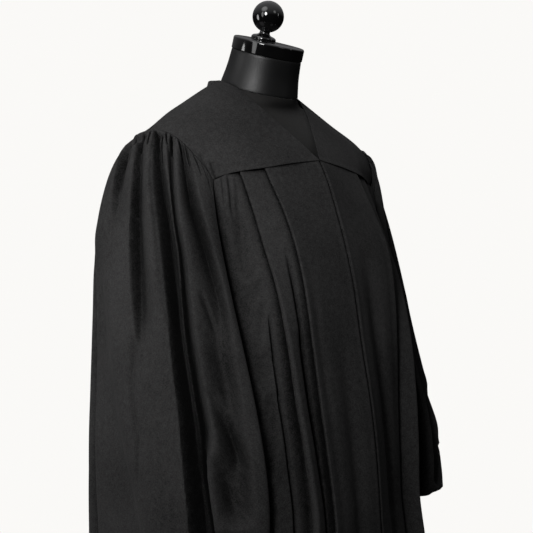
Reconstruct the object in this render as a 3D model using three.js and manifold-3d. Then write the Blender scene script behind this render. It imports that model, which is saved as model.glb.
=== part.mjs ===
// Graduation gown on a limbless dress form, in millimetres, +Z up, the front towards -Y.
// The origin is the middle of the stand's underside. "out" is the distance from the middle
// line, the same on both sides; "fore" is the distance towards the front.
import * as THREE from 'three';
import { mergeVertices } from 'three/addons/utils/BufferGeometryUtils.js';
import Module from 'manifold-3d';

const right = -1;               // the wearer's right is towards -X
const left = 1;

// Cloth and seams
const wall = 1.4;               // thickness of every cloth wall
const seamGap = 0.3;            // between two sewn pieces
const yokeDrop = 0.5;           // from the yoke seam's line down to the fronts' top edge
const rootGap = 2.3;            // from the armhole's edge to the sleeve that hangs beside it
const rootAngle = 32;           // degrees that this gap turns, fore and aft, at the yoke corners
const hemHeight = 150;          // hem of the gown above the floor
const underarmHeight = 1095;
const cornerHeight = 1284;      // where the yoke seam meets the armhole
const zipEndHeight = 793;       // the fronts part below this
const hemParting = 13;          // each front's distance from the middle line at the hem

// The two fronts, a row for each height. centre, pleat and side are how far fore the cloth
// lies at the middle line, at each pleat's fold and at the side corner.
const frontRows = {
  right: [
    { z: 1320, centre: 120.5, out1: 103, fold1: 98, out2: 139, fold2: 79, outSide: 172, side: 66, seam: 187 },
    { z: 1285, centre: 138, out1: 103, fold1: 117.5, out2: 139, fold2: 98, outSide: 174, side: 79, seam: 187 },
    { z: 1240, centre: 155, out1: 103, fold1: 145, out2: 139, fold2: 119, outSide: 175, side: 90, seam: 187 },
    { z: 1190, centre: 172, out1: 103, fold1: 168, out2: 139, fold2: 140, outSide: 176, side: 99, seam: 187 },
    { z: 1130, centre: 188, out1: 103, fold1: 186, out2: 139, fold2: 160, outSide: 177, side: 114, seam: 187 },
    { z: 1050, centre: 202.5, out1: 103, fold1: 201, out2: 139, fold2: 186, outSide: 179, side: 134, seam: 187 },
    { z: 965, centre: 220, out1: 103, fold1: 216, out2: 139, fold2: 209, outSide: 181, side: 156, seam: 187 },
    { z: 890, centre: 231, out1: 103, fold1: 230, out2: 139, fold2: 227, outSide: 183, side: 174, seam: 187 },
    { z: 790, centre: 239.5, out1: 104, fold1: 246, out2: 139, fold2: 243, outSide: 185, side: 190, seam: 188 },
    { z: 480, centre: 262, out1: 124, fold1: 272, out2: 172, fold2: 268, outSide: 238, side: 212, seam: 246 },
    { z: 150, centre: 288, out1: 148, fold1: 300, out2: 205, fold2: 294, outSide: 288, side: 232, seam: 302 },
  ],
  left: [
    { z: 1320, centre: 120.5, out1: 103, fold1: 98, out2: 139, fold2: 79, outSide: 172, side: 66, seam: 187 },
    { z: 1285, centre: 138, out1: 103, fold1: 117.5, out2: 139, fold2: 98, outSide: 174, side: 79, seam: 187 },
    { z: 1240, centre: 155, out1: 103, fold1: 143, out2: 139, fold2: 119, outSide: 175, side: 90, seam: 187 },
    { z: 1190, centre: 172, out1: 103, fold1: 168, out2: 139, fold2: 142, outSide: 176, side: 99, seam: 187 },
    { z: 1130, centre: 188, out1: 103, fold1: 181, out2: 139, fold2: 166, outSide: 177, side: 114, seam: 187 },
    { z: 1050, centre: 202.5, out1: 103, fold1: 186.5, out2: 139, fold2: 187, outSide: 179, side: 134, seam: 187 },
    { z: 965, centre: 220, out1: 103, fold1: 188, out2: 139, fold2: 198, outSide: 181, side: 150, seam: 187 },
    { z: 890, centre: 231, out1: 103, fold1: 190.5, out2: 139, fold2: 203, outSide: 183, side: 162, seam: 187 },
    { z: 790, centre: 239.5, out1: 104, fold1: 196, out2: 139, fold2: 208, outSide: 185, side: 172, seam: 188 },
    { z: 480, centre: 262, out1: 124, fold1: 240, out2: 172, fold2: 248, outSide: 238, side: 205, seam: 246 },
    { z: 150, centre: 288, out1: 148, fold1: 288, out2: 205, fold2: 290, outSide: 288, side: 232, seam: 302 },
  ],
};

// The two knife pleats of each front: lift is from layer to layer, tuck how far the fold
// goes under, and step how far the next visible layer lies behind the fold. round is how
// far the side corner is cut.
const pleatRows = [
  { z: 1320, lift1: 2.4, tuck1: 18, step1: 4.8, lift2: 2.4, tuck2: 18, step2: 4.8, round: 8 },
  { z: 1240, lift1: 2.6, tuck1: 18, step1: 5.6, lift2: 2.8, tuck2: 18, step2: 6.5, round: 10 },
  { z: 1130, lift1: 3.2, tuck1: 18, step1: 8.5, lift2: 4.5, tuck2: 18, step2: 11, round: 24 },
  { z: 1050, lift1: 4.2, tuck1: 18, step1: 10, lift2: 8.5, tuck2: 17, step2: 19, round: 36 },
  { z: 890, lift1: 5.5, tuck1: 17, step1: 12, lift2: 12, tuck2: 16, step2: 27, round: 42 },
  { z: 790, lift1: 6.5, tuck1: 16, step1: 14, lift2: 13.5, tuck2: 15, step2: 30, round: 45 },
  { z: 150, lift1: 14, tuck1: 12, step1: 34, lift2: 18, tuck2: 12, step2: 44, round: 70 },
];

// Height of the front yoke seam, by distance from the middle line
const yokeSeam = [
  { out: 0, z: 1318 },
  { out: 53, z: 1311.5 },
  { out: 103, z: 1303 },
  { out: 139, z: 1297 },
  { out: 160, z: 1291.5 },
  { out: 175, z: cornerHeight },
];

// The back, a row for each height: aft is how far back the cloth lies
const backRows = [
  { z: 1330, seam: 187, outCorner: 172, corner: 92, middle: 96 },
  { z: 1284, seam: 187, outCorner: 175, corner: 98, middle: 104 },
  { z: 1190, seam: 187, outCorner: 178, corner: 112, middle: 121 },
  { z: 1095, seam: 187, outCorner: 180, corner: 122, middle: 136 },
  { z: 950, seam: 187, outCorner: 183, corner: 134, middle: 152 },
  { z: 790, seam: 188, outCorner: 186, corner: 146, middle: 172 },
  { z: 480, seam: 246, outCorner: 240, corner: 188, middle: 222 },
  { z: 150, seam: 302, outCorner: 292, corner: 226, middle: 268 },
];
const backFlutes = { count: 11, top: 1.8, hem: 13 };   // gathers at the yoke seam, broader below

// Edges of the front yoke: from the shoulder at the neck to the point of the V, along the
// shoulder seam, and down the armhole to the yoke seam
const neckEdge = {
  right: [
    { out: 67, fore: -27, z: 1446 },
    { out: 66.5, fore: -5, z: 1438 },
    { out: 63.5, fore: 13, z: 1428.5 },
    { out: 50, fore: 42, z: 1402.5 },
    { out: 34, fore: 68, z: 1375.5 },
    { out: 17, fore: 93.5, z: 1348.5 },
    { out: 0, fore: 120.5, z: 1318 },
  ],
  left: [
    { out: 67, fore: -27, z: 1446 },
    { out: 67, fore: -5, z: 1437 },
    { out: 65, fore: 13, z: 1426 },
    { out: 53.5, fore: 42, z: 1401.5 },
    { out: 38, fore: 68, z: 1375 },
    { out: 20, fore: 93.5, z: 1348 },
    { out: 0, fore: 120.5, z: 1318 },
  ],
};
const shoulderEdge = {
  right: [
    { out: 67, fore: -27, z: 1446 },
    { out: 100, fore: -20, z: 1432 },
    { out: 150, fore: -16, z: 1405 },
    { out: 190, fore: -17, z: 1381 },
    { out: 218, fore: -19, z: 1358 },
  ],
  left: [
    { out: 67, fore: -27, z: 1446 },
    { out: 100, fore: -22, z: 1424 },
    { out: 150, fore: -20, z: 1394 },
    { out: 190, fore: -19, z: 1374 },
    { out: 218, fore: -19, z: 1358 },
  ],
};
const armholeEdge = [
  { out: 218, fore: -19, z: 1358 },
  { out: 215, fore: 14, z: 1353.5 },
  { out: 207.5, fore: 37, z: 1340 },
  { out: 196.5, fore: 55, z: 1319 },
  { out: 186, fore: 66, z: 1301 },
  { out: 175, fore: 71, z: cornerHeight },
];
// Edges of the back yoke
const backNeckEdge = [
  { out: 67, fore: -27, z: 1446 },
  { out: 62, fore: -52, z: 1448 },
  { out: 40, fore: -76, z: 1448 },
  { out: 0, fore: -84, z: 1446 },
];
const backArmholeEdge = [
  { out: 218, fore: -19, z: 1358 },
  { out: 216, fore: -46, z: 1352 },
  { out: 208, fore: -67, z: 1335 },
  { out: 196, fore: -82, z: 1309 },
  { out: 183, fore: -89, z: cornerHeight },
];

// Sleeve: guide lines from the armhole to the hem, each a cubic with the two middle
// control points and the end given as [out, fore, z]; around is the place on the ring,
// from the front edge. The left sleeve hangs further back.
const sleeveGuides = {
  right: [
    { around: 0, leave: [200, 100, 1160], fall: [196, 215, 930], hem: [196, 202, 785] },
    { around: 0.125, leave: [228, 45, 1310], fall: [250, 140, 960], hem: [256, 150, 783] },
    { around: 0.25, leave: [260, -12, 1330], fall: [290, 12, 1080], hem: [286, 28, 778] },
    { around: 0.375, leave: [275, -99, 1308], fall: [269, -106, 1050], hem: [266, -98, 758] },
    { around: 0.5, leave: [203, -112, 1190], fall: [206, -150, 980], hem: [205, -146, 748] },
    { around: 0.625, leave: [198, -84, 1120], fall: [197, -88, 950], hem: [202, -85, 752] },
    { around: 0.75, leave: [197, -3, 1070], fall: [196, 20, 930], hem: [201, 25, 768] },
    { around: 0.875, leave: [197, 84, 1130], fall: [195, 140, 950], hem: [194, 130, 780] },
  ],
  left: [
    { around: 0, leave: [202, 100, 1170], fall: [197, 192, 930], hem: [198, 164, 796] },
    { around: 0.125, leave: [242, 64, 1342], fall: [250, 158, 880], hem: [260, 150, 792] },
    { around: 0.25, leave: [262, -10, 1345], fall: [290, 12, 1080], hem: [288, 28, 784] },
    { around: 0.375, leave: [266, -95, 1312], fall: [266, -106, 1050], hem: [268, -98, 770] },
    { around: 0.5, leave: [203, -112, 1190], fall: [206, -150, 980], hem: [205, -146, 764] },
    { around: 0.625, leave: [198, -84, 1120], fall: [197, -88, 950], hem: [201, -85, 766] },
    { around: 0.75, leave: [197, -3, 1070], fall: [196, 20, 930], hem: [199, 25, 776] },
    { around: 0.875, leave: [197, 84, 1130], fall: [195, 128, 950], hem: [196, 108, 788] },
  ],
};
// Folds of the sleeve, from the front edge over the outer side to the back edge: where the
// valley lies around the ring and how deep it is, each at the armhole, a quarter, half and
// three quarters of the way down and at the hem
const sleeveFolds = [
  { at: [0.020, 0.014, 0.012, 0.010, 0.010], deep: [2.5, 0, 0, 0, 0], width: 0.010 },
  { at: [0.050, 0.032, 0.028, 0.026, 0.022], deep: [3, 3, 2, 1, 1], width: 0.014 },
  { at: [0.084, 0.070, 0.055, 0.050, 0.050], deep: [3.5, 1, 0, 0, 0], width: 0.012 },
  { at: [0.126, 0.108, 0.062, 0.045, 0.045], deep: [4, 9, 8, 3, 2], width: 0.022 },
  { at: [0.146, 0.136, 0.136, 0.125, 0.118], deep: [3.5, 3, 1, 3, 8], width: 0.014 },
  { at: [0.168, 0.160, 0.146, 0.128, 0.105], deep: [4, 4, 9, 7, 0], width: 0.013 },
  { at: [0.189, 0.197, 0.173, 0.162, 0.152], deep: [5, 17, 26, 30, 30], width: 0.021 },
  { at: [0.212, 0.212, 0.205, 0.200, 0.200], deep: [4, 1, 0, 0, 0], width: 0.012 },
  { at: [0.232, 0.221, 0.229, 0.238, 0.240], deep: [4, 9, 9, 3, 0], width: 0.020 },
  { at: [0.256, 0.250, 0.262, 0.268, 0.238], deep: [4, 1, 0, 4, 7], width: 0.016 },
  { at: [0.280, 0.281, 0.300, 0.320, 0.325], deep: [4, 9, 6, 4, 3], width: 0.022 },
  { at: [0.306, 0.318, 0.345, 0.360, 0.368], deep: [4, 3, 9, 13, 16], width: 0.024 },
  { at: [0.332, 0.350, 0.378, 0.395, 0.400], deep: [4, 8, 5, 2, 0], width: 0.018 },
  { at: [0.360, 0.388, 0.415, 0.428, 0.432], deep: [4, 5, 10, 12, 10], width: 0.020 },
  { at: [0.392, 0.425, 0.450, 0.460, 0.462], deep: [3.5, 6, 5, 2, 0], width: 0.016 },
  { at: [0.428, 0.458, 0.478, 0.482, 0.484], deep: [3, 2, 4, 5, 6], width: 0.014 },
  { at: [0.466, 0.484, 0.492, 0.494, 0.495], deep: [2.5, 0, 0, 0, 0], width: 0.010 },
];
const gatherWidth = 0.009;      // half width of a gather at the armhole, round the ring

// Soft troughs of the fronts: panel 0 is the centre panel, 1 the strip between the pleats,
// 2 the side part; across is the place over the panel's width, radius its half width there
const frontTroughs = {
  right: [
    { panel: 0, across: 0.78, radius: 0.22, top: 1080, bottom: 560, depth: 5 },
    { panel: 2, across: 0.62, radius: 0.07, top: 1299, bottom: 1190, depth: 2.2 },
    { panel: 2, across: 0.32, radius: 0.09, top: 1299, bottom: 1160, depth: 2.6 },
    { panel: 2, across: 0.42, radius: 0.14, top: 1200, bottom: 1030, depth: 5 },
  ],
  left: [
    { panel: 0, across: 0.82, radius: 0.25, top: 1180, bottom: 480, depth: 7 },
    { panel: 2, across: 0.62, radius: 0.07, top: 1299, bottom: 1190, depth: 2.2 },
    { panel: 2, across: 0.32, radius: 0.09, top: 1299, bottom: 1160, depth: 2.6 },
  ],
};

// Concealed zip: a tape behind the two centre front edges
const zipTape = { width: 26, thick: 1.2, top: 1300, clear: 2.2 };

// Dress form
const formTilt = THREE.MathUtils.degToRad(17);         // the neck leans forward
const neckBase = { fore: -6.5, z: 1435, radius: 62 };
const neckTop = { radius: 55, length: 56 };
const neckCap = { radius: 56, thick: 20, rim: 3 };
const finial = { footRadius: 19.5, footHeight: 5, stemRadius: 8, stemHeight: 7, ballRadius: 24.6, back: 12 };
const formRows = [
  { z: 1446, wide: 58, middle: -12, front: 20, back: 42 },
  { z: 1430, wide: 72, middle: -18, front: 20, back: 50 },
  { z: 1412, wide: 98, middle: -13, front: 34, back: 56 },
  { z: 1392, wide: 134, middle: -8, front: 49, back: 62 },
  { z: 1372, wide: 168, middle: -5, front: 67, back: 72 },
  { z: 1350, wide: 192, middle: -2, front: 85, back: 79 },
  { z: 1335, wide: 200, middle: 0, front: 94, back: 82 },
  { z: 1316, wide: 198, middle: 0, front: 101, back: 85 },
  { z: 1290, wide: 184, middle: 0, front: 110, back: 88 },
  { z: 1262, wide: 172, middle: 0, front: 127, back: 89 },
  { z: 1235, wide: 163, middle: 0, front: 134, back: 90 },
  { z: 1180, wide: 150, middle: 0, front: 128, back: 87 },
  { z: 1100, wide: 132, middle: 0, front: 108, back: 80 },
  { z: 1040, wide: 126, middle: 0, front: 98, back: 82 },
  { z: 960, wide: 146, middle: 0, front: 104, back: 100 },
  { z: 880, wide: 164, middle: 0, front: 108, back: 114 },
  { z: 830, wide: 163, middle: 0, front: 105, back: 110 },
  { z: 806, wide: 150, middle: 0, front: 96, back: 98 },
  { z: 800, wide: 138, middle: 0, front: 88, back: 90 },
];
const neckStub = { depth: 70, flare: 0.5 };     // the torso's own root of the neck
const pole = { radius: 16, gap: 0.3 };
const base = { radius: 170, thick: 14, edge: 3, bossRadius: 34, bossHeight: 26 };

// Meshing
const steps = {
  frontSpans: [4, 2, 0, 2, 1, 2, 0, 2, 1, 1, 3, 2, 0, 2, 1, 2, 0, 2, 1, 1, 3, 3, 4],
  frontDown: 12,
  backAcross: 44,
  backDown: 9,
  yokeAcross: 12,
  yokeDown: 7,
  sleeveAround: 60,
  sleeveDown: 10,
  zipDown: 9,
  formAround: 26,
  round: 32,
  ballAround: 24,
  ballDown: 9,
};

const cloth = new THREE.MeshStandardMaterial({ color: 0x1c1b1b, roughness: 0.95, metalness: 0 });
const zipCloth = new THREE.MeshStandardMaterial({ color: 0x101010, roughness: 0.9, metalness: 0 });
const jersey = new THREE.MeshStandardMaterial({ color: 0x151515, roughness: 0.9, metalness: 0 });
const vinyl = new THREE.MeshStandardMaterial({ color: 0x101010, roughness: 0.45, metalness: 0 });
const glossBlack = new THREE.MeshStandardMaterial({ color: 0x0a0a0a, roughness: 0.15, metalness: 0 });
const paintedMetal = new THREE.MeshStandardMaterial({ color: 0x0d0d0d, roughness: 0.4, metalness: 0.6 });

const mix = (a, b, t) => a + (b - a) * t;
const clamp01 = (t) => Math.min(Math.max(t, 0), 1);
const smooth = (t) => clamp01(t) ** 2 * (3 - 2 * clamp01(t));
const ofSide = (tables, side) => (side === right ? tables.right : tables.left);

// Value of a named column between a table's rows, a cubic with the rows' mean slopes
function column(rows, by, name, at) {
  const falling = rows[0][by] > rows[rows.length - 1][by];
  const last = rows.length - 1;
  const before = (row) => (falling ? row[by] >= at : row[by] <= at);
  let i = 0;
  while (i < last - 1 && before(rows[i + 1])) i += 1;
  const slope = (k) => {
    const a = rows[Math.max(k - 1, 0)];
    const b = rows[Math.min(k + 1, last)];
    return (b[name] - a[name]) / (b[by] - a[by]);
  };
  const span = rows[i + 1][by] - rows[i][by];
  const t = (at - rows[i][by]) / span;
  if (t < 0) return rows[i][name] + slope(i) * span * t;
  if (t > 1) return rows[i + 1][name];
  const t2 = t * t;
  const t3 = t2 * t;
  return (2 * t3 - 3 * t2 + 1) * rows[i][name] + (t3 - 2 * t2 + t) * slope(i) * span
    + (3 * t2 - 2 * t3) * rows[i + 1][name] + (t3 - t2) * slope(i + 1) * span;
}

// Smooth curve through the rows of an edge's table, on one side
function edgeCurve(rows, side) {
  const points = rows.map((row) => new THREE.Vector3(side * row.out, -row.fore, row.z));
  return new THREE.CatmullRomCurve3(points, false, 'centripetal');
}

// Point on a flat path whose corners are cut: even spans are its straights, odd spans its
// corners. Each corner is [x, y, cut].
function pathPoint(corners, span, f) {
  const away = (i, j) => Math.hypot(corners[i][0] - corners[j][0], corners[i][1] - corners[j][1]) || 1;
  const toward = (i, j) => {
    const ends = i === 0 || i === corners.length - 1;
    const cut = ends ? 0 : Math.min(corners[i][2], 0.49 * away(i, i - 1), 0.49 * away(i, i + 1));
    const k = cut / away(i, j);
    return [mix(corners[i][0], corners[j][0], k), mix(corners[i][1], corners[j][1], k)];
  };
  if (span % 2 === 0) {
    const i = span / 2;
    const a = toward(i, i + 1);
    const b = toward(i + 1, i);
    return [mix(a[0], b[0], f), mix(a[1], b[1], f)];
  }
  const i = (span + 1) / 2;
  const a = toward(i, i - 1);
  const b = toward(i, i + 1);
  return [0, 1].map((k) => (1 - f) ** 2 * a[k] + 2 * f * (1 - f) * corners[i][k] + f * f * b[k]);
}

// Horizontal section of a front, from the centre front edge to the side seam
function frontSection(side, z) {
  const rows = ofSide(frontRows, side);
  const row = (name) => column(rows, 'z', name, z);
  const pleat = (name) => column(pleatRows, 'z', name, z);
  const open = hemParting * clamp01((zipEndHeight - z) / (zipEndHeight - hemHeight));
  const corners = [[seamGap / 2 + 0.1 + open, -row('centre'), 0]];
  for (const n of [1, 2]) {
    const out = row(`out${n}`);
    const y = -row(`fold${n}`);
    const lift = pleat(`lift${n}`);
    const tuck = pleat(`tuck${n}`);
    corners.push([out, y, lift / 2], [out, y + lift, lift / 2]);
    corners.push([out - tuck, y + lift, lift / 2], [out - tuck, y + 2 * lift, lift / 2]);
    corners.push([out - 1, y + pleat(`step${n}`), 8]);
  }
  corners.push([row('outSide'), -row('side'), pleat('round')], [row('seam'), 5, 0]);
  return corners;
}
const frontPanelSpans = [0, 10, 20];           // the visible straights of the three panels
const lastFrontSpan = 22;
const armholePower = 1.85;                     // shape of the armhole's lower curve

function frontTop(side, span, f) {
  if (span >= lastFrontSpan) {
    return mix(underarmHeight, cornerHeight, (1 - f) ** armholePower);
  }
  const [out] = pathPoint(frontSection(side, 1300), span, f);
  return column(yokeSeam, 'out', 'z', Math.max(out, 0));
}

function frontTrough(side, span, f, z) {
  const rows = ofSide(frontTroughs, side);
  let depth = 0;
  for (const row of rows) {
    if (frontPanelSpans[row.panel] !== span) continue;
    const across = Math.exp(-(((f - row.across) / row.radius) ** 2));
    const along = clamp01((z - row.bottom) / (row.top - row.bottom));
    depth += row.depth * across * Math.sin(Math.PI * Math.sqrt(along)) ** 2 * Math.sin(Math.PI * f);
  }
  return depth;
}

// Point of a front: span and f across the section, down 0 at the top edge and 1 at the hem
function frontPoint(side, span, f, down) {
  const top = frontTop(side, span, f) - yokeDrop;
  const z = mix(top, hemHeight, down);
  const [out, y] = pathPoint(frontSection(side, z), span, f);
  return new THREE.Vector3(side * out, y + frontTrough(side, span, f, z), z);
}

// Point of the back: across -1 at the right side seam, 1 at the left one
function backSection(z) {
  const row = (name) => column(backRows, 'z', name, z);
  return [[0, row('middle'), 0], [row('outCorner'), row('corner'), 62], [row('seam'), 5 + seamGap, 0]];
}
const backSpanShare = [0.55, 0.75, 1];         // where the corner begins and ends across the half

function backPoint(across, down) {
  const a = Math.abs(across);
  const span = a < backSpanShare[0] ? 0 : a < backSpanShare[1] ? 1 : 2;
  const from = span === 0 ? 0 : backSpanShare[span - 1];
  const f = (a - from) / (backSpanShare[span] - from);
  const top = span < 2 ? cornerHeight - seamGap : mix(underarmHeight, cornerHeight, (1 - f) ** armholePower) - seamGap;
  const z = mix(top, hemHeight, down);
  const section = backSection(z);
  const [out, y] = pathPoint(section, span, f);
  const edge = 1 - smooth((a - 0.72) / 0.26);
  const flute = mix(backFlutes.top, backFlutes.hem, smooth(down * 1.1)) * edge;
  const wave = Math.cos(across * Math.PI * backFlutes.count) * flute * smooth(down * 9 + 0.1);
  return new THREE.Vector3(Math.sign(across) * out, y + wave, z);
}

// Patch between four edge curves, each a function of 0..1
function patch(top, bottom, start, end) {
  return (a, b) => {
    const p = new THREE.Vector3();
    p.addScaledVector(top(a), 1 - b).addScaledVector(bottom(a), b);
    p.addScaledVector(start(b), 1 - a).addScaledVector(end(b), a);
    p.addScaledVector(top(0), -(1 - a) * (1 - b)).addScaledVector(top(1), -a * (1 - b));
    p.addScaledVector(bottom(0), -(1 - a) * b).addScaledVector(bottom(1), -a * b);
    return p;
  };
}

// Yoke seam of the front, over the folds, from the middle line to the armhole
function yokeSeamPoint(side, t) {
  const rows = ofSide(frontRows, side);
  const corner = armholeEdge[armholeEdge.length - 1];
  const marks = [['centre', 0], ['fold1', 103], ['fold2', 139]].map(([name, out]) => {
    return { out, fore: column(rows, 'z', name, column(yokeSeam, 'out', 'z', out)) };
  });
  const out = corner.out * t;
  const fore = column([...marks, corner], 'out', 'fore', out);
  return new THREE.Vector3(side * Math.max(out, 0.3), -fore, column(yokeSeam, 'out', 'z', out));
}

function frontYokePatch(side) {
  const shoulder = edgeCurve(ofSide(shoulderEdge, side), side);
  const neck = edgeCurve(ofSide(neckEdge, side), side);
  const arm = edgeCurve(armholeEdge, side);
  return patch(
    (a) => shoulder.getPointAt(a),
    (a) => yokeSeamPoint(side, a),
    (b) => neck.getPointAt(b).add(new THREE.Vector3(side * 0.3 * b, 0, 0)),
    (b) => arm.getPointAt(b),
  );
}

// Back yoke, half by half: its top runs along the shoulder seam and the back neck edge
function backYokePoint(across, b) {
  const side = across < 0 ? right : left;
  const a = Math.abs(across);
  const neckShare = 0.34;
  const behind = 1.1;                            // the back yoke's edge behind the shoulder seam
  const neck = edgeCurve(backNeckEdge, side);
  const shoulder = edgeCurve(ofSide(shoulderEdge, side), side);
  const arm = edgeCurve(backArmholeEdge, side);
  const top = a < neckShare ? neck.getPointAt(1 - a / neckShare) : shoulder.getPointAt((a - neckShare) / (1 - neckShare));
  if (a >= neckShare) top.add(new THREE.Vector3(0, behind, -0.15));
  const foot = new THREE.Vector3(side * 183 * a, 0, cornerHeight);
  const [, y] = pathPoint(backSection(cornerHeight), 0, Math.min(a * 1.3, 1));
  foot.y = mix(y, 89, smooth(a));
  const bulge = new THREE.Vector3(top.x, Math.max(top.y, foot.y * 0.93), mix(top.z, foot.z, 0.42));
  const inner = new THREE.QuadraticBezierCurve3(top, bulge, foot).getPoint(b);
  const edge = arm.getPointAt(b);
  edge.y += behind * (1 - b);
  return inner.lerp(edge, smooth((a - 0.8) / 0.2));
}

// Closed shell around a grid of points on the middle of the wall. points[row][column];
// ring joins the last column to the first, and the rows in level end in a level face.
function shell(points, thick, { ring = false, flip = false, level = [] } = {}) {
  const rows = points.length;
  const columns = points[0].length;
  const at = (i, j) => points[Math.min(Math.max(i, 0), rows - 1)][ring ? (j + columns) % columns : Math.min(Math.max(j, 0), columns - 1)];
  const outer = [];
  const inner = [];
  for (let i = 0; i < rows; i += 1) {
    for (let j = 0; j < columns; j += 1) {
      const across = at(i, j + 1).clone().sub(at(i, j - 1));
      const along = at(i + 1, j).clone().sub(at(i - 1, j));
      const normal = across.cross(along).normalize();
      if (level.includes(i)) normal.multiplyScalar(1 / Math.max(Math.hypot(normal.x, normal.y), 0.5)).setZ(0);
      normal.multiplyScalar((flip ? -1 : 1) * thick / 2);
      outer.push(at(i, j).clone().add(normal));
      inner.push(at(i, j).clone().sub(normal));
    }
  }
  const positions = [];
  [...outer, ...inner].forEach((p) => positions.push(p.x, p.y, p.z));
  const index = [];
  const half = rows * columns;
  const id = (layer, i, j) => layer * half + i * columns + (ring ? j % columns : j);
  const quad = (a, b, c, d) => (flip ? index.push(a, c, b, a, d, c) : index.push(a, b, c, a, c, d));
  const wide = ring ? columns : columns - 1;
  for (let j = 0; j < wide; j += 1) {
    for (let i = 0; i < rows - 1; i += 1) {
      quad(id(0, i, j), id(0, i, j + 1), id(0, i + 1, j + 1), id(0, i + 1, j));
      quad(id(1, i, j), id(1, i + 1, j), id(1, i + 1, j + 1), id(1, i, j + 1));
    }
    quad(id(0, 0, j), id(1, 0, j), id(1, 0, j + 1), id(0, 0, j + 1));
    quad(id(0, rows - 1, j), id(0, rows - 1, j + 1), id(1, rows - 1, j + 1), id(1, rows - 1, j));
  }
  if (!ring) {
    for (let i = 0; i < rows - 1; i += 1) {
      quad(id(0, i, 0), id(0, i + 1, 0), id(1, i + 1, 0), id(1, i, 0));
      quad(id(0, i, columns - 1), id(1, i, columns - 1), id(1, i + 1, columns - 1), id(0, i + 1, columns - 1));
    }
  }
  const geometry = new THREE.BufferGeometry();
  geometry.setAttribute('position', new THREE.Float32BufferAttribute(positions, 3));
  geometry.setIndex(index);
  geometry.computeVertexNormals();
  return geometry;
}

function grid(rowPlaces, columnPlaces, point) {
  return rowPlaces.map((row) => columnPlaces.map((place) => point(place, row)));
}

const even = (count) => Array.from({ length: count + 1 }, (_, i) => i / count);
const closer = (count, power) => even(count).map((t) => t ** power);    // denser near the start

function makeFront(side) {
  const places = [];
  steps.frontSpans.forEach((count, span) => {
    for (let k = 0; k < count; k += 1) places.push({ span, f: k / count });
  });
  places.push({ span: lastFrontSpan, f: 1 });
  const points = grid(closer(steps.frontDown, 1.35), places, (place, down) => frontPoint(side, place.span, place.f, down));
  return shell(points, wall, { flip: side === left, level: [0] });
}

function makeBack() {
  const across = even(steps.backAcross).map((t) => 2 * t - 1);
  return shell(grid(closer(steps.backDown, 1.4), across, backPoint), wall, { flip: true, level: [0] });
}

function makeFrontYoke(side) {
  const point = frontYokePatch(side);
  const places = closer(steps.yokeAcross, 1.3).map((t) => 1 - t).reverse();
  const points = grid(even(steps.yokeDown), places, point);
  return shell(points, wall, { flip: side === left, level: [steps.yokeDown] });
}

function makeBackYoke() {
  const across = even(2 * steps.yokeAcross).map((t) => 2 * t - 1);
  return shell(grid(even(steps.yokeDown), across, backYokePoint), wall, { flip: true, level: [steps.yokeDown] });
}

// Armhole seam as a ring: 0 at the front yoke corner, over the shoulder to 0.5 at the back
// yoke corner, and under the arm back to 1
function armholePoint(side, around) {
  const quarter = (Math.floor(around * 4) % 4 + 4) % 4;
  const f = around * 4 - Math.floor(around * 4);
  if (quarter === 0) return edgeCurve(armholeEdge, side).getPointAt(1 - f);
  if (quarter === 1) return edgeCurve(backArmholeEdge, side).getPointAt(f);
  const low = quarter === 2 ? f : 1 - f;
  if (quarter === 2) {
    const across = side * mix(backSpanShare[1], 1, low);
    return backPoint(across, 0);
  }
  return frontPoint(side, lastFrontSpan, low, 0);
}

// Control point of the sleeve's guide lines at a place around the ring
function guidePoint(side, name, around) {
  const rows = ofSide(sleeveGuides, side);
  const count = rows.length;
  const i = Math.floor(around * count);
  const t = around * count - i;
  const [out, fore, z] = [0, 1, 2].map((axis) => {
    const [a, b, c, d] = [-1, 0, 1, 2].map((k) => rows[(i + k + count) % count][name][axis]);
    return 0.5 * (2 * b + (c - a) * t + (2 * a - 5 * b + 4 * c - d) * t * t + (3 * b - a - 3 * c + d) * t ** 3);
  });
  return new THREE.Vector3(side * out, -fore, z);
}

function sleeveBase(side, around, down) {
  const turn = THREE.MathUtils.degToRad(rootAngle) * Math.cos(2 * Math.PI * around);
  const away = new THREE.Vector3(side * Math.cos(turn), -Math.sin(turn), 0).multiplyScalar(rootGap);
  const root = armholePoint(side, around).add(away);
  const [leave, fall, hem] = ['leave', 'fall', 'hem'].map((name) => guidePoint(side, name, around));
  return new THREE.CubicBezierCurve3(root, leave, fall, hem).getPoint(down);
}

// Value of a fold's list of stations, by the way down the sleeve
function station(list, down) {
  const place = clamp01(down) * (list.length - 1);
  const i = Math.min(Math.floor(place), list.length - 2);
  return mix(list[i], list[i + 1], smooth(place - i));
}

// Depth of the sleeve's folds: tight gathers at the armhole, then the broad folds
function sleeveFold(around, down) {
  let depth = 0;
  for (const fold of sleeveFolds) {
    const width = mix(gatherWidth, fold.width, smooth(down * 4));
    const reach = Math.exp(-(((around - station(fold.at, down)) / width) ** 2));
    depth += station(fold.deep, down) * smooth(down * 22) * reach;
  }
  return depth;
}

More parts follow.
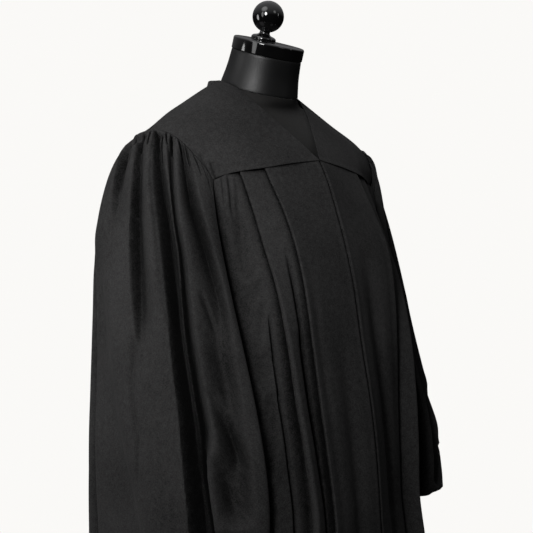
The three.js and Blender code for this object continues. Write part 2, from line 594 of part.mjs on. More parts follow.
function makeSleeve(side) {
  const outerShare = 0.78;                       // most columns lie on the gathered outer half
  const places = Array.from({ length: steps.sleeveAround }, (_, k) => {
    const t = k / steps.sleeveAround;
    return t < outerShare ? 0.5 * t / outerShare : 0.5 + 0.5 * (t - outerShare) / (1 - outerShare);
  });
  const downs = closer(steps.sleeveDown, 1.5);
  const base = grid(downs, places, (around, down) => sleeveBase(side, around, down));
  const folded = base.map((row, i) => row.map((p, j) => {
    const next = row[(j + 1) % row.length];
    const before = row[(j - 1 + row.length) % row.length];
    const along = base[Math.min(i + 1, base.length - 1)][j].clone().sub(base[Math.max(i - 1, 0)][j]);
    const normal = next.clone().sub(before).cross(along).normalize().multiplyScalar(side === right ? 1 : -1);
    return p.clone().addScaledVector(normal, -sleeveFold(places[j], downs[i]));
  }));
  return shell(folded, wall, { ring: true, flip: side === left });
}

function makeZip() {
  const heights = even(steps.zipDown).map((t) => mix(zipTape.top, zipEndHeight, t));
  const behind = wall / 2 + zipTape.clear + zipTape.thick / 2;
  const points = grid(heights, [-1, 0, 1], (across, z) => {
    const side = across < 0 ? right : left;
    const out = Math.abs(across) * zipTape.width / 2;
    const [, y] = pathPoint(frontSection(side, z), 0, out / frontRows.right[0].out1);
    return new THREE.Vector3(side * out, y + behind, z);
  });
  return shell(points, zipTape.thick);
}

// Body of the dress form, an oval for each height, cut square to the leaning neck
async function makeTorso() {
  const wasm = await Module();
  wasm.setup();
  const rings = formRows.map((row) => even(steps.formAround).slice(0, -1).map((t) => {
    const angle = t * 2 * Math.PI;
    const depth = Math.sin(angle) < 0 ? row.front - row.middle : row.back + row.middle;
    return new THREE.Vector3(row.wide * Math.cos(angle), depth * Math.sin(angle) - row.middle, row.z);
  }));
  const positions = [];
  rings.flat().forEach((p) => positions.push(p.x, p.y, p.z));
  const index = [];
  const n = steps.formAround;
  for (let i = 0; i < rings.length - 1; i += 1) {
    for (let j = 0; j < n; j += 1) {
      const a = i * n + j;
      const b = i * n + (j + 1) % n;
      index.push(a, a + n, b + n, a, b + n, b);
    }
  }
  const addCap = (row, up) => {
    const centre = positions.length / 3;
    positions.push(0, -formRows[row].middle, formRows[row].z);
    for (let j = 0; j < n; j += 1) {
      const a = row * n + j;
      const b = row * n + (j + 1) % n;
      if (up) index.push(centre, a, b);
      else index.push(centre, b, a);
    }
  };
  addCap(0, true);
  addCap(formRows.length - 1, false);
  const toSolid = (geometry) => {
    geometry.deleteAttribute('normal');
    geometry.deleteAttribute('uv');
    const merged = mergeVertices(geometry);
    return new wasm.Manifold(new wasm.Mesh({
      numProp: 3,
      vertProperties: new Float32Array(merged.getAttribute('position').array),
      triVerts: new Uint32Array(merged.getIndex().array),
    }));
  };
  const loft = new THREE.BufferGeometry();
  loft.setAttribute('position', new THREE.Float32BufferAttribute(positions, 3));
  loft.setIndex(index);
  const lean = (geometry) => {
    geometry.rotateX(formTilt);
    geometry.translate(0, -neckBase.fore, neckBase.z - seamGap);
    return geometry;
  };
  const cutSize = 400;
  const cutter = new THREE.BoxGeometry(cutSize, cutSize, cutSize).translate(0, 0, cutSize / 2);
  const { radius } = neckBase;
  const stub = lathe([
    [0, -neckStub.depth], [radius - 12, -neckStub.depth], [radius + neckStub.flare, -neckStub.depth / 2], [radius, 1], [0, 1],
  ], steps.formAround);
  const solid = toSolid(loft).add(toSolid(lean(stub))).subtract(toSolid(lean(cutter))).getMesh();
  const geometry = new THREE.BufferGeometry();
  geometry.setAttribute('position', new THREE.Float32BufferAttribute(solid.vertProperties, 3));
  geometry.setIndex(Array.from(solid.triVerts));
  geometry.computeVertexNormals();
  return geometry;
}

function lathe(profile, segments) {
  const geometry = new THREE.LatheGeometry(profile.map(([r, z]) => new THREE.Vector2(r, z)), segments);
  geometry.rotateX(Math.PI / 2);
  return geometry;
}

function makeNeck() {
  return lathe([
    [0, 0],
    [neckBase.radius, 0],
    [mix(neckBase.radius, neckTop.radius, 0.55) - 0.8, neckTop.length * 0.5],
    [neckTop.radius, neckTop.length],
    [0, neckTop.length],
  ], steps.round);
}

function makeCap() {
  const { radius, thick, rim } = neckCap;
  return lathe([
    [0, 0], [radius - rim, 0], [radius, rim], [radius, thick - rim], [radius - rim, thick], [0, thick],
  ], steps.round);
}

function makeFinial() {
  const { footRadius, footHeight, stemRadius, stemHeight, ballRadius } = finial;
  const profile = [
    [0, 0], [footRadius, 0], [footRadius, 1.5], [stemRadius + 3, footHeight - 1.5], [stemRadius, footHeight + stemHeight / 2],
  ];
  const ballCentre = footHeight + stemHeight + Math.sqrt(ballRadius ** 2 - stemRadius ** 2);
  const start = Math.asin(stemRadius / ballRadius);
  for (let k = 0; k < steps.ballDown; k += 1) {
    const angle = mix(start, Math.PI, k / steps.ballDown);
    profile.push([ballRadius * Math.sin(angle), ballCentre - ballRadius * Math.cos(angle)]);
  }
  profile.push([0, ballCentre + ballRadius]);
  return lathe(profile, steps.ballAround);
}

function makePole(length) {
  const geometry = new THREE.CylinderGeometry(pole.radius, pole.radius, length, 20);
  geometry.rotateX(Math.PI / 2);
  geometry.translate(0, 0, length / 2);
  return geometry;
}

function makeBase() {
  const { radius, thick, edge, bossRadius, bossHeight } = base;
  return lathe([
    [0, 0], [radius, 0], [radius, thick - edge], [radius - edge, thick],
    [bossRadius, thick + 1], [bossRadius - 6, thick + bossHeight * 0.5], [pole.radius + 5, thick + bossHeight], [0, thick + bossHeight],
  ], steps.round + 8);
}

function add(group, name, geometry, material) {
  const mesh = new THREE.Mesh(geometry, material);
  mesh.name = name;
  group.add(mesh);
  return mesh;
}

const gown = new THREE.Group();
add(gown, 'yoke_front_right', makeFrontYoke(right), cloth);
add(gown, 'yoke_front_left', makeFrontYoke(left), cloth);
add(gown, 'yoke_back', makeBackYoke(), cloth);
add(gown, 'front_right', makeFront(right), cloth);
add(gown, 'front_left', makeFront(left), cloth);
add(gown, 'back', makeBack(), cloth);
add(gown, 'sleeve_right', makeSleeve(right), cloth);
add(gown, 'sleeve_left', makeSleeve(left), cloth);
add(gown, 'front_zip', makeZip(), zipCloth);

const form = new THREE.Group();
add(form, 'form_torso', await makeTorso(), jersey);
const head = new THREE.Group();                  // what leans with the neck
head.position.set(0, -neckBase.fore, neckBase.z);
head.rotation.x = formTilt;
add(head, 'form_neck', makeNeck(), vinyl);
add(head, 'form_cap', makeCap(), glossBlack).position.z = neckTop.length + seamGap;
const ball = add(head, 'form_finial', makeFinial(), glossBlack);
ball.position.set(0, finial.back, neckTop.length + neckCap.thick + 2 * seamGap);
form.add(head);

const baseTop = base.thick + base.bossHeight;
const torsoFoot = formRows[formRows.length - 1].z;
const poleLength = torsoFoot - baseTop - 2 * pole.gap;
add(form, 'stand_base', makeBase(), paintedMetal);
add(form, 'stand_pole', makePole(poleLength), paintedMetal).position.z = baseTop + pole.gap;

const part = new THREE.Group();
part.add(gown, form);
export default part;
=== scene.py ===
import math

import bmesh
import bpy
import numpy as np
from mathutils import Matrix, Vector


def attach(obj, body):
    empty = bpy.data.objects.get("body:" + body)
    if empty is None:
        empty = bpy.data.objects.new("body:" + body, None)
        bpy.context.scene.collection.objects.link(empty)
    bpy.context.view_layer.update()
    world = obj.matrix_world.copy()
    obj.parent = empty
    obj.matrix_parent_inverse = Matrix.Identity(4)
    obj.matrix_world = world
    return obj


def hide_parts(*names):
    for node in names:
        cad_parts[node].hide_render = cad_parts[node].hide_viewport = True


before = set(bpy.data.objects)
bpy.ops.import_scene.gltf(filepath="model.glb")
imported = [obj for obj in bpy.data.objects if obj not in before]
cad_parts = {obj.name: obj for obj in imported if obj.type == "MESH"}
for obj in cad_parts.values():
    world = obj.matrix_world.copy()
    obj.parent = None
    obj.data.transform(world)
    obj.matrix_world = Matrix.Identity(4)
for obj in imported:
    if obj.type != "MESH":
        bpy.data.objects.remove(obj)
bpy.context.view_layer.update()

# Graduation gown on a limbless dress form. Tables are in millimetres, in the CAD's frame:
# the front towards -Y, the wearer's right towards -X, the floor at 0. "out" is the distance
# from the middle line, "fore" the distance towards the front.
mm = 0.001
right, left = -1, 1
seamGap = 0.3
hemHeight = 150
underarmHeight = 1095
cornerHeight = 1284      # where the yoke seam meets the armhole
armholePower = 1.85


# small helpers

def smooth(t):
    t = np.clip(t, 0, 1)
    return t * t * (3 - 2 * t)


def mix(a, b, t):
    return a + (b - a) * t


def table(names, rows):      # rows of values, as dictionaries under the named columns
    return [dict(zip(names.split(), row)) for row in rows]


def bell(x):
    return np.exp(-np.square(x))


def curveThrough(xs, ys, at):      # cubic through a table's two columns, with mean slopes
    xs, ys = np.asarray(xs, float), np.asarray(ys, float)
    if xs[0] > xs[-1]:
        xs, ys = xs[::-1], ys[::-1]
    at = np.clip(at, xs[0], xs[-1])
    slope = np.empty_like(ys)
    slope[1:-1] = (ys[2:] - ys[:-2]) / (xs[2:] - xs[:-2])
    slope[0] = (ys[1] - ys[0]) / (xs[1] - xs[0])
    slope[-1] = (ys[-1] - ys[-2]) / (xs[-1] - xs[-2])
    i = np.clip(np.searchsorted(xs, at, side="right") - 1, 0, len(xs) - 2)
    span = xs[i + 1] - xs[i]
    t = (at - xs[i]) / span
    t2, t3 = t * t, t ** 3
    return ((2 * t3 - 3 * t2 + 1) * ys[i] + (t3 - 2 * t2 + t) * slope[i] * span
            + (3 * t2 - 2 * t3) * ys[i + 1] + (t3 - t2) * slope[i + 1] * span)


def column(rows, by, name, at):
    return curveThrough([row[by] for row in rows], [row[name] for row in rows], at)


def edgeLine(rows, side, samples=40):      # smooth line through an edge's rows, evenly spaced along it
    p = np.array([[side * row["out"], -row["fore"], row["z"]] for row in rows], float)
    p = np.vstack([2 * p[0] - p[1], p, 2 * p[-1] - p[-2]])
    s = np.linspace(0, 1, samples, endpoint=False)[:, None]
    pieces = []
    for i in range(len(rows) - 1):
        a, b, c, d = p[i:i + 4]
        d0, d1, d2 = (np.linalg.norm(q - r) ** 0.5 for q, r in ((b, a), (c, b), (d, c)))
        t1 = ((b - a) / d0 - (c - a) / (d0 + d1) + (c - b) / d1) * d1
        t2 = ((c - b) / d1 - (d - b) / (d1 + d2) + (d - c) / d2) * d1
        pieces.append(b + s * t1 + s ** 2 * (3 * c - 3 * b - 2 * t1 - t2) + s ** 3 * (2 * b - 2 * c + t1 + t2))
    line = np.vstack(pieces + [p[-2][None]])
    steps = np.linalg.norm(np.diff(line, axis=0), axis=1)
    share = np.concatenate([[0], np.cumsum(steps)])
    return line, share / share[-1]


def along(edge, t):
    line, share = edge
    return np.stack([np.interp(t, share, line[:, k]) for k in range(3)], axis=-1)


def surfaceNormals(surface, ring=False):      # outward for a surface laid out left to right, top to bottom
    if ring:
        wide = np.concatenate([surface[:, -2:-1], surface, surface[:, 1:2]], axis=1)
        across = wide[:, 2:] - wide[:, :-2]
    else:
        across = np.gradient(surface, axis=1)
    down = np.gradient(surface, axis=0)
    normal = np.cross(down, across)
    return normal / np.maximum(np.linalg.norm(normal, axis=2, keepdims=True), 1e-9)


def clothPiece(name, surface, ring=False, flip=False, wall=1.4, edge=0.45):
    # a grid mapped onto the surface (rows by columns of points, in mm), with a UV map in metres of cloth
    rows, columns = surface.shape[0] - 1, surface.shape[1] - 1
    bm = bmesh.new()
    bmesh.ops.create_grid(bm, x_segments=columns, y_segments=rows, size=0.5)
    places = np.array([v.co[:2] for v in bm.verts]) + 0.5
    j = np.rint(places[:, 0] * columns).astype(int)
    i = rows - np.rint(places[:, 1] * rows).astype(int)
    mesh = bpy.data.meshes.new(name)
    bm.to_mesh(mesh)
    bm.free()
    points = surface[i, j] * mm
    mesh.vertices.foreach_set("co", points.astype(np.float32).ravel())
    lengths = [np.linalg.norm(np.diff(surface, axis=a), axis=2) * mm for a in (1, 0)]
    u = np.pad(np.cumsum(lengths[0], axis=1), ((0, 0), (1, 0)))
    u -= u[:, [columns // 2]]
    v = -np.pad(np.cumsum(lengths[1], axis=0), ((1, 0), (0, 0)))
    corner = np.empty(len(mesh.loops), np.int32)
    mesh.loops.foreach_get("vertex_index", corner)
    uv = np.stack([u[i, j][corner], v[i, j][corner]], axis=1)
    layer = mesh.uv_layers.new(name="cloth")
    layer.data.foreach_set("uv", uv.astype(np.float32).ravel())
    bm = bmesh.new()
    bm.from_mesh(mesh)
    if ring:
        bmesh.ops.remove_doubles(bm, verts=bm.verts[:], dist=1e-6)
    if flip:
        bmesh.ops.reverse_faces(bm, faces=bm.faces[:])
    bm.to_mesh(mesh)
    bm.free()
    mesh.shade_smooth()
    piece = bpy.data.objects.new(name, mesh)
    bpy.context.collection.objects.link(piece)
    solid = piece.modifiers.new("wall", "SOLIDIFY")
    solid.thickness = wall * mm
    solid.offset = 0
    if edge:
        soft = piece.modifiers.new("edge", "BEVEL")
        soft.width = edge * mm
        soft.segments = 2
        soft.limit_method = "ANGLE"
        soft.angle_limit = math.radians(62)
        soft.harden_normals = False
    return piece


# camera

view = {"azimuth": 46, "distance": 2.2, "height": 1.16, "lens": 95.1, "shiftX": 0.0084, "shiftY": -0.0009}
cameraData = bpy.data.cameras.new("photoCamera")
camera = bpy.data.objects.new("photoCamera", cameraData)
bpy.context.collection.objects.link(camera)
turn = math.radians(view["azimuth"])
camera.location = (-view["distance"] * math.sin(turn), -view["distance"] * math.cos(turn), view["height"])
camera.rotation_euler = (math.radians(90), 0, -turn)
cameraData.sensor_width = 36
cameraData.lens = view["lens"]
cameraData.shift_x = view["shiftX"]
cameraData.shift_y = view["shiftY"]
cameraData.clip_end = 30
bpy.context.scene.camera = camera
print("camera placed")


# materials

def shaderGroup(name, inputs, outputs):
    group = bpy.data.node_groups.new(name, "ShaderNodeTree")
    for label, kind, value in inputs:
        socket = group.interface.new_socket(name=label, in_out="INPUT", socket_type=kind)
        if value is not None:
            socket.default_value = value
    for label, kind in outputs:
        group.interface.new_socket(name=label, in_out="OUTPUT", socket_type=kind)
    return group, group.nodes.new("NodeGroupInput"), group.nodes.new("NodeGroupOutput")


def node(tree, kind, values=None, **links):
    made = tree.nodes.new(kind)
    for key, value in (values or {}).items():
        if key in made.inputs:
            made.inputs[key].default_value = value
        else:
            setattr(made, key, value)
    for key, source in links.items():
        tree.links.new(source, made.inputs[key.replace("_", " ")])
    return made


def math2(tree, operation, a, b=None):
    made = tree.nodes.new("ShaderNodeMath")
    made.operation = operation
    for k, value in enumerate((a, b)):
        if value is None:
            continue
        if isinstance(value, (int, float)):
            made.inputs[k].default_value = value
        else:
            tree.links.new(value, made.inputs[k])
    return made.outputs[0]


# plain weave: over and under threads from two crossed waves, with uneven yarns
weave, weaveIn, weaveOut = shaderGroup("plainWeave", [
    ("Vector", "NodeSocketVector", None), ("Threads", "NodeSocketFloat", 1400.0), ("Slub", "NodeSocketFloat", 0.35),
], [("Height", "NodeSocketFloat"), ("Shade", "NodeSocketFloat")])
scaled = node(weave, "ShaderNodeVectorMath", {"operation": "SCALE"})
weave.links.new(weaveIn.outputs["Vector"], scaled.inputs[0])
weave.links.new(weaveIn.outputs["Threads"], scaled.inputs["Scale"])
parts = node(weave, "ShaderNodeSeparateXYZ", Vector=scaled.outputs[0])
warp = math2(weave, "SINE", math2(weave, "MULTIPLY", parts.outputs[0], math.pi))
weft = math2(weave, "SINE", math2(weave, "MULTIPLY", parts.outputs[1], math.pi))
checker = math2(weave, "MULTIPLY", warp, weft)
slub = node(weave, "ShaderNodeTexNoise", {"Scale": 0.09, "Detail": 2.0, "Roughness": 0.6}, Vector=scaled.outputs[0])
uneven = math2(weave, "MULTIPLY", math2(weave, "SUBTRACT", slub.outputs[0], 0.5), weaveIn.outputs["Slub"])
weave.links.new(math2(weave, "ADD", math2(weave, "MULTIPLY", checker, 0.35), math2(weave, "ADD", uneven, 0.5)),
                weaveOut.inputs["Height"])
weave.links.new(math2(weave, "ADD", uneven, 0.5), weaveOut.inputs["Shade"])

# mottle: soft uneven patches over a surface, fine and broad
mottle, mottleIn, mottleOut = shaderGroup("mottle", [
    ("Vector", "NodeSocketVector", None), ("Fine", "NodeSocketFloat", 500.0), ("Broad", "NodeSocketFloat", 9.0),
    ("Fine Share", "NodeSocketFloat", 0.5),
], [("Value", "NodeSocketFloat")])
fine = node(mottle, "ShaderNodeTexNoise", {"Detail": 3.0, "Roughness": 0.7},
            Vector=mottleIn.outputs["Vector"], Scale=mottleIn.outputs["Fine"])
broad = node(mottle, "ShaderNodeTexNoise", {"Detail": 2.0, "Roughness": 0.5},
             Vector=mottleIn.outputs["Vector"], Scale=mottleIn.outputs["Broad"])
blend = node(mottle, "ShaderNodeMix", {"data_type": "FLOAT"})
mottle.links.new(mottleIn.outputs["Fine Share"], blend.inputs[0])
mottle.links.new(broad.outputs[0], blend.inputs[2])
mottle.links.new(fine.outputs[0], blend.inputs[3])
mottle.links.new(blend.outputs[0], mottleOut.inputs["Value"])


def newMaterial(name, settings):
    material = bpy.data.materials.new(name)
    material.use_nodes = True
    shader = material.node_tree.nodes["Principled BSDF"]
    for key, value in settings.items():
        shader.inputs[key].default_value = value
    return material, material.node_tree, shader


def colourRamp(tree, value, dark, light, low, high):
    ramp = tree.nodes.new("ShaderNodeValToRGB")
    for element, position, colour in zip(ramp.color_ramp.elements, (low, high), (dark, light)):
        element.position = position
        element.color = (*colour, 1)
    tree.links.new(value, ramp.inputs[0])
    return ramp.outputs[0]


def colourRange(tree, shader, value, look, low=0.3, high=0.7):
    tree.links.new(colourRamp(tree, value, look["dark"], look["light"], low, high), shader.inputs["Base Color"])


def groupNode(tree, group, vector, values):
    made = tree.nodes.new("ShaderNodeGroup")
    made.node_tree = group
    for key, value in values.items():
        made.inputs[key].default_value = value
    tree.links.new(vector, made.inputs["Vector"])
    return made


def addBump(tree, shader, height, strength, distance):
    bumpNode = node(tree, "ShaderNodeBump", {"Strength": strength, "Distance": distance}, Height=height)
    tree.links.new(bumpNode.outputs[0], shader.inputs["Normal"])


def clothMaterial(name, look):
    material, tree, shader = newMaterial(name, {
        "Roughness": look["roughness"], "Specular IOR Level": look["specular"],
        "Sheen Weight": look["sheen"], "Sheen Roughness": look["sheenRoughness"], "Sheen Tint": (1, 1, 1, 1),
    })
    place = tree.nodes.new("ShaderNodeTexCoord")
    uv = node(tree, "ShaderNodeUVMap", {"uv_map": "cloth"}) if look["onUv"] else None
    weaveNode = groupNode(tree, weave, uv.outputs[0] if uv else place.outputs["Object"],
                          {"Threads": look["threads"], "Slub": look["slub"]})
    mottleNode = groupNode(tree, mottle, place.outputs["Object"],
                           {"Fine": look["fine"], "Fine Share": look["fineShare"]})
    shade = math2(tree, "ADD", math2(tree, "MULTIPLY", weaveNode.outputs["Shade"], 0.35),
                  math2(tree, "MULTIPLY", mottleNode.outputs["Value"], 0.65))
    # painted shade: the base colour is darkened deep in folds and creases, where ambient occlusion finds the cloth
    # closed in
    foldShadeAo = node(tree, "ShaderNodeAmbientOcclusion", {"Distance": look["foldShadeAo"], "samples": 6})
    paintedFoldShade = math2(tree, "MULTIPLY", math2(tree, "SUBTRACT", 1.0, foldShadeAo.outputs["AO"]), look["paintedShadeStrength"])
    colourRange(tree, shader, math2(tree, "SUBTRACT", shade, paintedFoldShade), look, 0.30, 0.62)
    height = math2(tree, "ADD", math2(tree, "MULTIPLY", weaveNode.outputs["Height"], look["threadDepth"]),
                   math2(tree, "MULTIPLY", mottleNode.outputs["Value"], look["fuzz"]))
    addBump(tree, shader, height, 1.0, look["bump"] * mm)
    return material


# this look paints shade into the cloth's folds by ambient occlusion; the zip tape and jersey looks below copy it
gownLook = {
    "dark": (0.006, 0.006, 0.0061), "light": (0.070, 0.0688, 0.0690), "foldShadeAo": 0.06, "paintedShadeStrength": 0.3,
    "roughness": 0.82, "specular": 0.1,
    "sheen": 0.03, "sheenRoughness": 0.4, "onUv": True, "threads": 1300, "slub": 0.5, "threadDepth": 0.5,
    "fine": 520, "fineShare": 0.7, "fuzz": 1.0, "bump": 0.35,
}
gownCloth = clothMaterial("gownCloth", gownLook)
liningLook = dict(gownLook, dark=(0.012, 0.012, 0.012), light=(0.02, 0.02, 0.02), onUv=False, fine=700)
zipTapeCloth = clothMaterial("zipTapeCloth", liningLook)
jerseyLook = dict(gownLook, dark=(0.020, 0.0196, 0.0192), light=(0.036, 0.0352, 0.0346), onUv=False, threads=2200,
                  threadDepth=0.3, fine=900, sheen=0.12, bump=0.2)
formJersey = clothMaterial("formJersey", jerseyLook)


def grainedMaterial(name, look):      # a hard surface with a fine uneven grain
    material, tree, shader = newMaterial(name, look["shader"])
    place = tree.nodes.new("ShaderNodeTexCoord")
    grain = groupNode(tree, mottle, place.outputs["Object"], {"Fine": look["fine"], "Broad": look["broad"]})
    colourRange(tree, shader, grain.outputs[0], look)
    addBump(tree, shader, grain.outputs[0], look["strength"], look["bump"] * mm)
    return material


vinyl = grainedMaterial("formVinyl", {
    "shader": {"Roughness": 0.42, "Specular IOR Level": 0.5},
    "dark": (0.005, 0.005, 0.0052), "light": (0.010, 0.010, 0.0103),
    "fine": 1100, "broad": 25, "strength": 1.0, "bump": 0.3,
})
lacquer = grainedMaterial("glossLacquer", {
    "shader": {"Roughness": 0.09, "Specular IOR Level": 0.6, "Coat Weight": 0.6, "Coat Roughness": 0.04},
    "dark": (0.003, 0.003, 0.0031), "light": (0.006, 0.006, 0.0062),
    "fine": 300, "broad": 40, "strength": 0.15, "bump": 0.1,
})
powderCoat = grainedMaterial("standPowderCoat", {
    "shader": {"Roughness": 0.42, "Specular IOR Level": 0.5},
    "dark": (0.008, 0.008, 0.0082), "light": (0.014, 0.014, 0.0144),
    "fine": 450, "broad": 12, "strength": 0.5, "bump": 0.15,
})
print("materials made")


# the fronts

frontRows = {
    right: table("z centre out1 fold1 out2 fold2 outSide side seam", [
        (1320, 120.5, 103, 98, 139, 79, 172, 66, 187),
        (1285, 138, 103, 117.5, 139, 98, 174, 79, 187),
        (1240, 155, 103, 145, 139, 119, 175, 90, 187),
        (1190, 172, 103, 168, 139, 140, 176, 99, 187),
        (1130, 188, 103, 186, 139, 166, 177, 114, 187),
        (1050, 202.5, 103, 201, 139, 190, 179, 134, 187),
        (965, 220, 103, 216, 139, 209, 181, 156, 187),
        (890, 231, 103, 230, 139, 227, 183, 174, 187),
        (790, 239.5, 104, 246, 139, 243, 185, 190, 188),
        (480, 262, 124, 272, 172, 268, 238, 212, 246),
        (150, 288, 148, 300, 205, 294, 288, 232, 302),
    ]),
    left: table("z centre out1 fold1 out2 fold2 outSide side seam", [
        (1320, 120.5, 103, 98, 139, 79, 172, 66, 187),
        (1285, 138, 103, 117.5, 139, 98, 174, 79, 187),
        (1240, 155, 103, 143, 139, 119, 175, 90, 187),
        (1190, 172, 103, 168, 139, 142, 176, 99, 187),
        (1130, 188, 103, 181, 139, 166, 177, 114, 187),
        (1050, 202.5, 103, 186.5, 139, 187, 179, 134, 187),
        (965, 220, 103, 188, 139, 198, 181, 150, 187),
        (890, 231, 103, 190.5, 139, 203, 183, 162, 187),
        (790, 239.5, 104, 196, 139, 208, 185, 172, 188),
        (480, 262, 124, 240, 172, 248, 238, 205, 246),
        (150, 288, 148, 288, 205, 290, 288, 232, 302),
    ]),
}
pleatRows = table("z lift1 tuck1 step1 lift2 tuck2 step2 round", [
    (1320, 2.4, 18, 4.8, 2.4, 18, 4.8, 8),
    (1240, 2.6, 18, 5.6, 2.8, 18, 6.5, 10),
    (1130, 3.2, 18, 8.5, 4.5, 18, 11, 24),
    (1050, 3, 18, 10, 8.5, 17, 19, 36),
    (890, 3.6, 17, 12, 12, 16, 27, 42),
    (790, 4.2, 16, 14, 13.5, 15, 30, 45),
    (150, 8, 12, 34, 18, 12, 44, 70),
])
yokeSeam = table("out z", [
    (0, 1318), (53, 1311.5), (103, 1303), (139, 1297), (160, 1291.5), (175, cornerHeight),
])
front = {
    "rows": 150,
    # columns in each straight and corner
    "spans": [34, 6, 0, 6, 3, 6, 0, 6, 3, 4, 16, 6, 0, 6, 3, 6, 0, 6, 3, 4, 26, 16, 16],
    "yokeDrop": 0.5,       # the yoke covers the fronts' top edge
    "zipEnd": 793,         # the fronts part below this
    "hemParting": 13,
    "centreGap": 1.5,
    "edgeTurn": 3.0,       # the centre edges are pressed inward over this width
    "edgeDepth": 2.4,
    "edgeRidge": 0.7,      # a slight ridge beside the turned edge
    "ridgeAt": 5,
    "ridgeHalf": 3.5,
    "edgeCrowding": 1.7,   # columns lie closer towards the centre edge
    "rowCrowding": 1.1,
    "underYoke": 0.7,      # the top is pressed in under the yoke
    "underYokeHeight": 9,
}
frontPanels = {0: 0, 10: 1, 20: 2}      # which visible panel each straight is
# soft troughs: across is over the panel's width, at the trough's top and foot
frontTroughs = {
    right: table("panel top foot acrossTop acrossFoot radius depth", [
        (0, 1060, 200, 0.42, 0.46, 0.15, 7),
        (0, 1180, 620, 0.90, 0.86, 0.07, 3),
        (1, 1180, 500, 0.12, 0.13, 0.13, 16),
        (1, 1070, 780, 0.30, 0.22, 0.22, 6),
        (2, 1090, 350, 0.12, 0.13, 0.14, 30),
        (2, 1070, 600, 0.10, 0.20, 0.10, 4),
    ]),
    left: table("panel top foot acrossTop acrossFoot radius depth", [
        (0, 1190, 250, 0.40, 0.95, 0.16, 11),
        (0, 1270, 800, 0.94, 0.94, 0.06, 3),
        (2, 1300, 1190, 0.62, 0.62, 0.07, 2.2),
        (2, 1300, 1160, 0.32, 0.36, 0.09, 2.6),
    ]),
}
# drag folds and gathers of the side panels: both ends' places, depth and half width
sideCreases = {
    right: table("from to deep half", [
        ((-138, -132, 1190), (-157, -124, 1140), 4, 5),
        ((-144, -142, 1136), (-169, -127, 1100), 5, 6),
        ((-146, -148, 1116), (-161, -146, 1044), 2.5, 6),
        ((-150, -168, 1043), (-160, -163, 990), 2.5, 6),
        ((-149, -97, 1255), (-162, -122, 1150), 5, 9),
        ((-167, -82, 1284), (-170, -90, 1250), 2.4, 2.6),
        ((-157, -86, 1288), (-163, -97, 1240), 2.6, 2.8),
        ((-147, -92, 1291), (-150, -104, 1240), 2.4, 3),
        ((-158, -154, 1030), (-174, -158, 946), 4, 7),
        ((-158, -168, 973), (-174, -180, 879), 6, 8),
    ]),
    left: table("from to deep half", [
        ((149, -97, 1288), (158, -118, 1180), 4, 6),
        ((165, -86, 1284), (169, -97, 1220), 3, 4),
    ]),
}


def frontCorners(side, z):      # flat section of a front at each height: x, y and cut of each corner
    rows = frontRows[side]
    at = lambda name: column(rows, "z", name, z)
    pleat = lambda name: column(pleatRows, "z", name, z)
    parting = front["hemParting"] * np.clip((front["zipEnd"] - z) / (front["zipEnd"] - hemHeight), 0, 1)
    zero = np.zeros_like(z)
    corners = [(front["centreGap"] / 2 + parting, -at("centre"), zero)]
    for n in (1, 2):
        out, y = at(f"out{n}"), -at(f"fold{n}")
        lift, tuck = pleat(f"lift{n}"), pleat(f"tuck{n}")
        corners += [(out, y, lift / 2), (out, y + lift, lift / 2), (out - tuck, y + lift, lift / 2),
                    (out - tuck, y + 2 * lift, lift / 2), (out - 1, y + pleat(f"step{n}"), zero + 8)]
    return corners + [(at("outSide"), -at("side"), pleat("round")), (at("seam"), zero + 5, zero)]


def pathPoint(corners, span, f):      # even spans are straights, odd spans are the cut corners
    last = len(corners) - 1

    def away(i, j):
        return np.maximum(np.hypot(corners[i][0] - corners[j][0], corners[i][1] - corners[j][1]), 1e-6)

    def toward(i, j):
        if i in (0, last):
            cut = 0
        else:
            cut = np.minimum(corners[i][2], np.minimum(0.49 * away(i, i - 1), 0.49 * away(i, i + 1)))
        k = cut / away(i, j)
        return [mix(corners[i][n], corners[j][n], k) for n in (0, 1)]

    if span % 2 == 0:
        i = span // 2
        a, b = toward(i, i + 1), toward(i + 1, i)
        return [mix(a[n], b[n], f) for n in (0, 1)]
    i = (span + 1) // 2
    a, b = toward(i, i - 1), toward(i, i + 1)
    return [(1 - f) ** 2 * a[n] + 2 * f * (1 - f) * corners[i][n] + f * f * b[n] for n in (0, 1)]


def frontTrough(side, span, f, z):
    depth = np.zeros_like(z)
    for row in frontTroughs[side]:
        if frontPanels.get(span) != row["panel"]:
            continue
        share = np.clip((row["top"] - z) / (row["top"] - row["foot"]), 0, 1)
        across = mix(row["acrossTop"], row["acrossFoot"], share)
        fullness = np.sin(np.pi * share ** 0.6) ** 1.3
        depth += row["depth"] * fullness * bell((f - across) / row["radius"]) * smooth(f * 30) * smooth((1 - f) * 6)
    return depth


def addCreases(surface, normal, rows, allowed=None):      # presses creases in along the inward normal
    for row in rows:
        start, end = (np.array(row[key], float) for key in ("from", "to"))
        run = end - start
        share = (surface - start) @ run / (run @ run)
        off = np.linalg.norm(surface - start - np.clip(share, 0, 1)[..., None] * run, axis=2) / row["half"]
        depth = row["deep"] * (bell(off) - 0.12 * bell((off - 2.1) / 0.7))
        if allowed is not None:
            depth = depth * allowed
        surface = surface - normal * depth[..., None]
    return surface


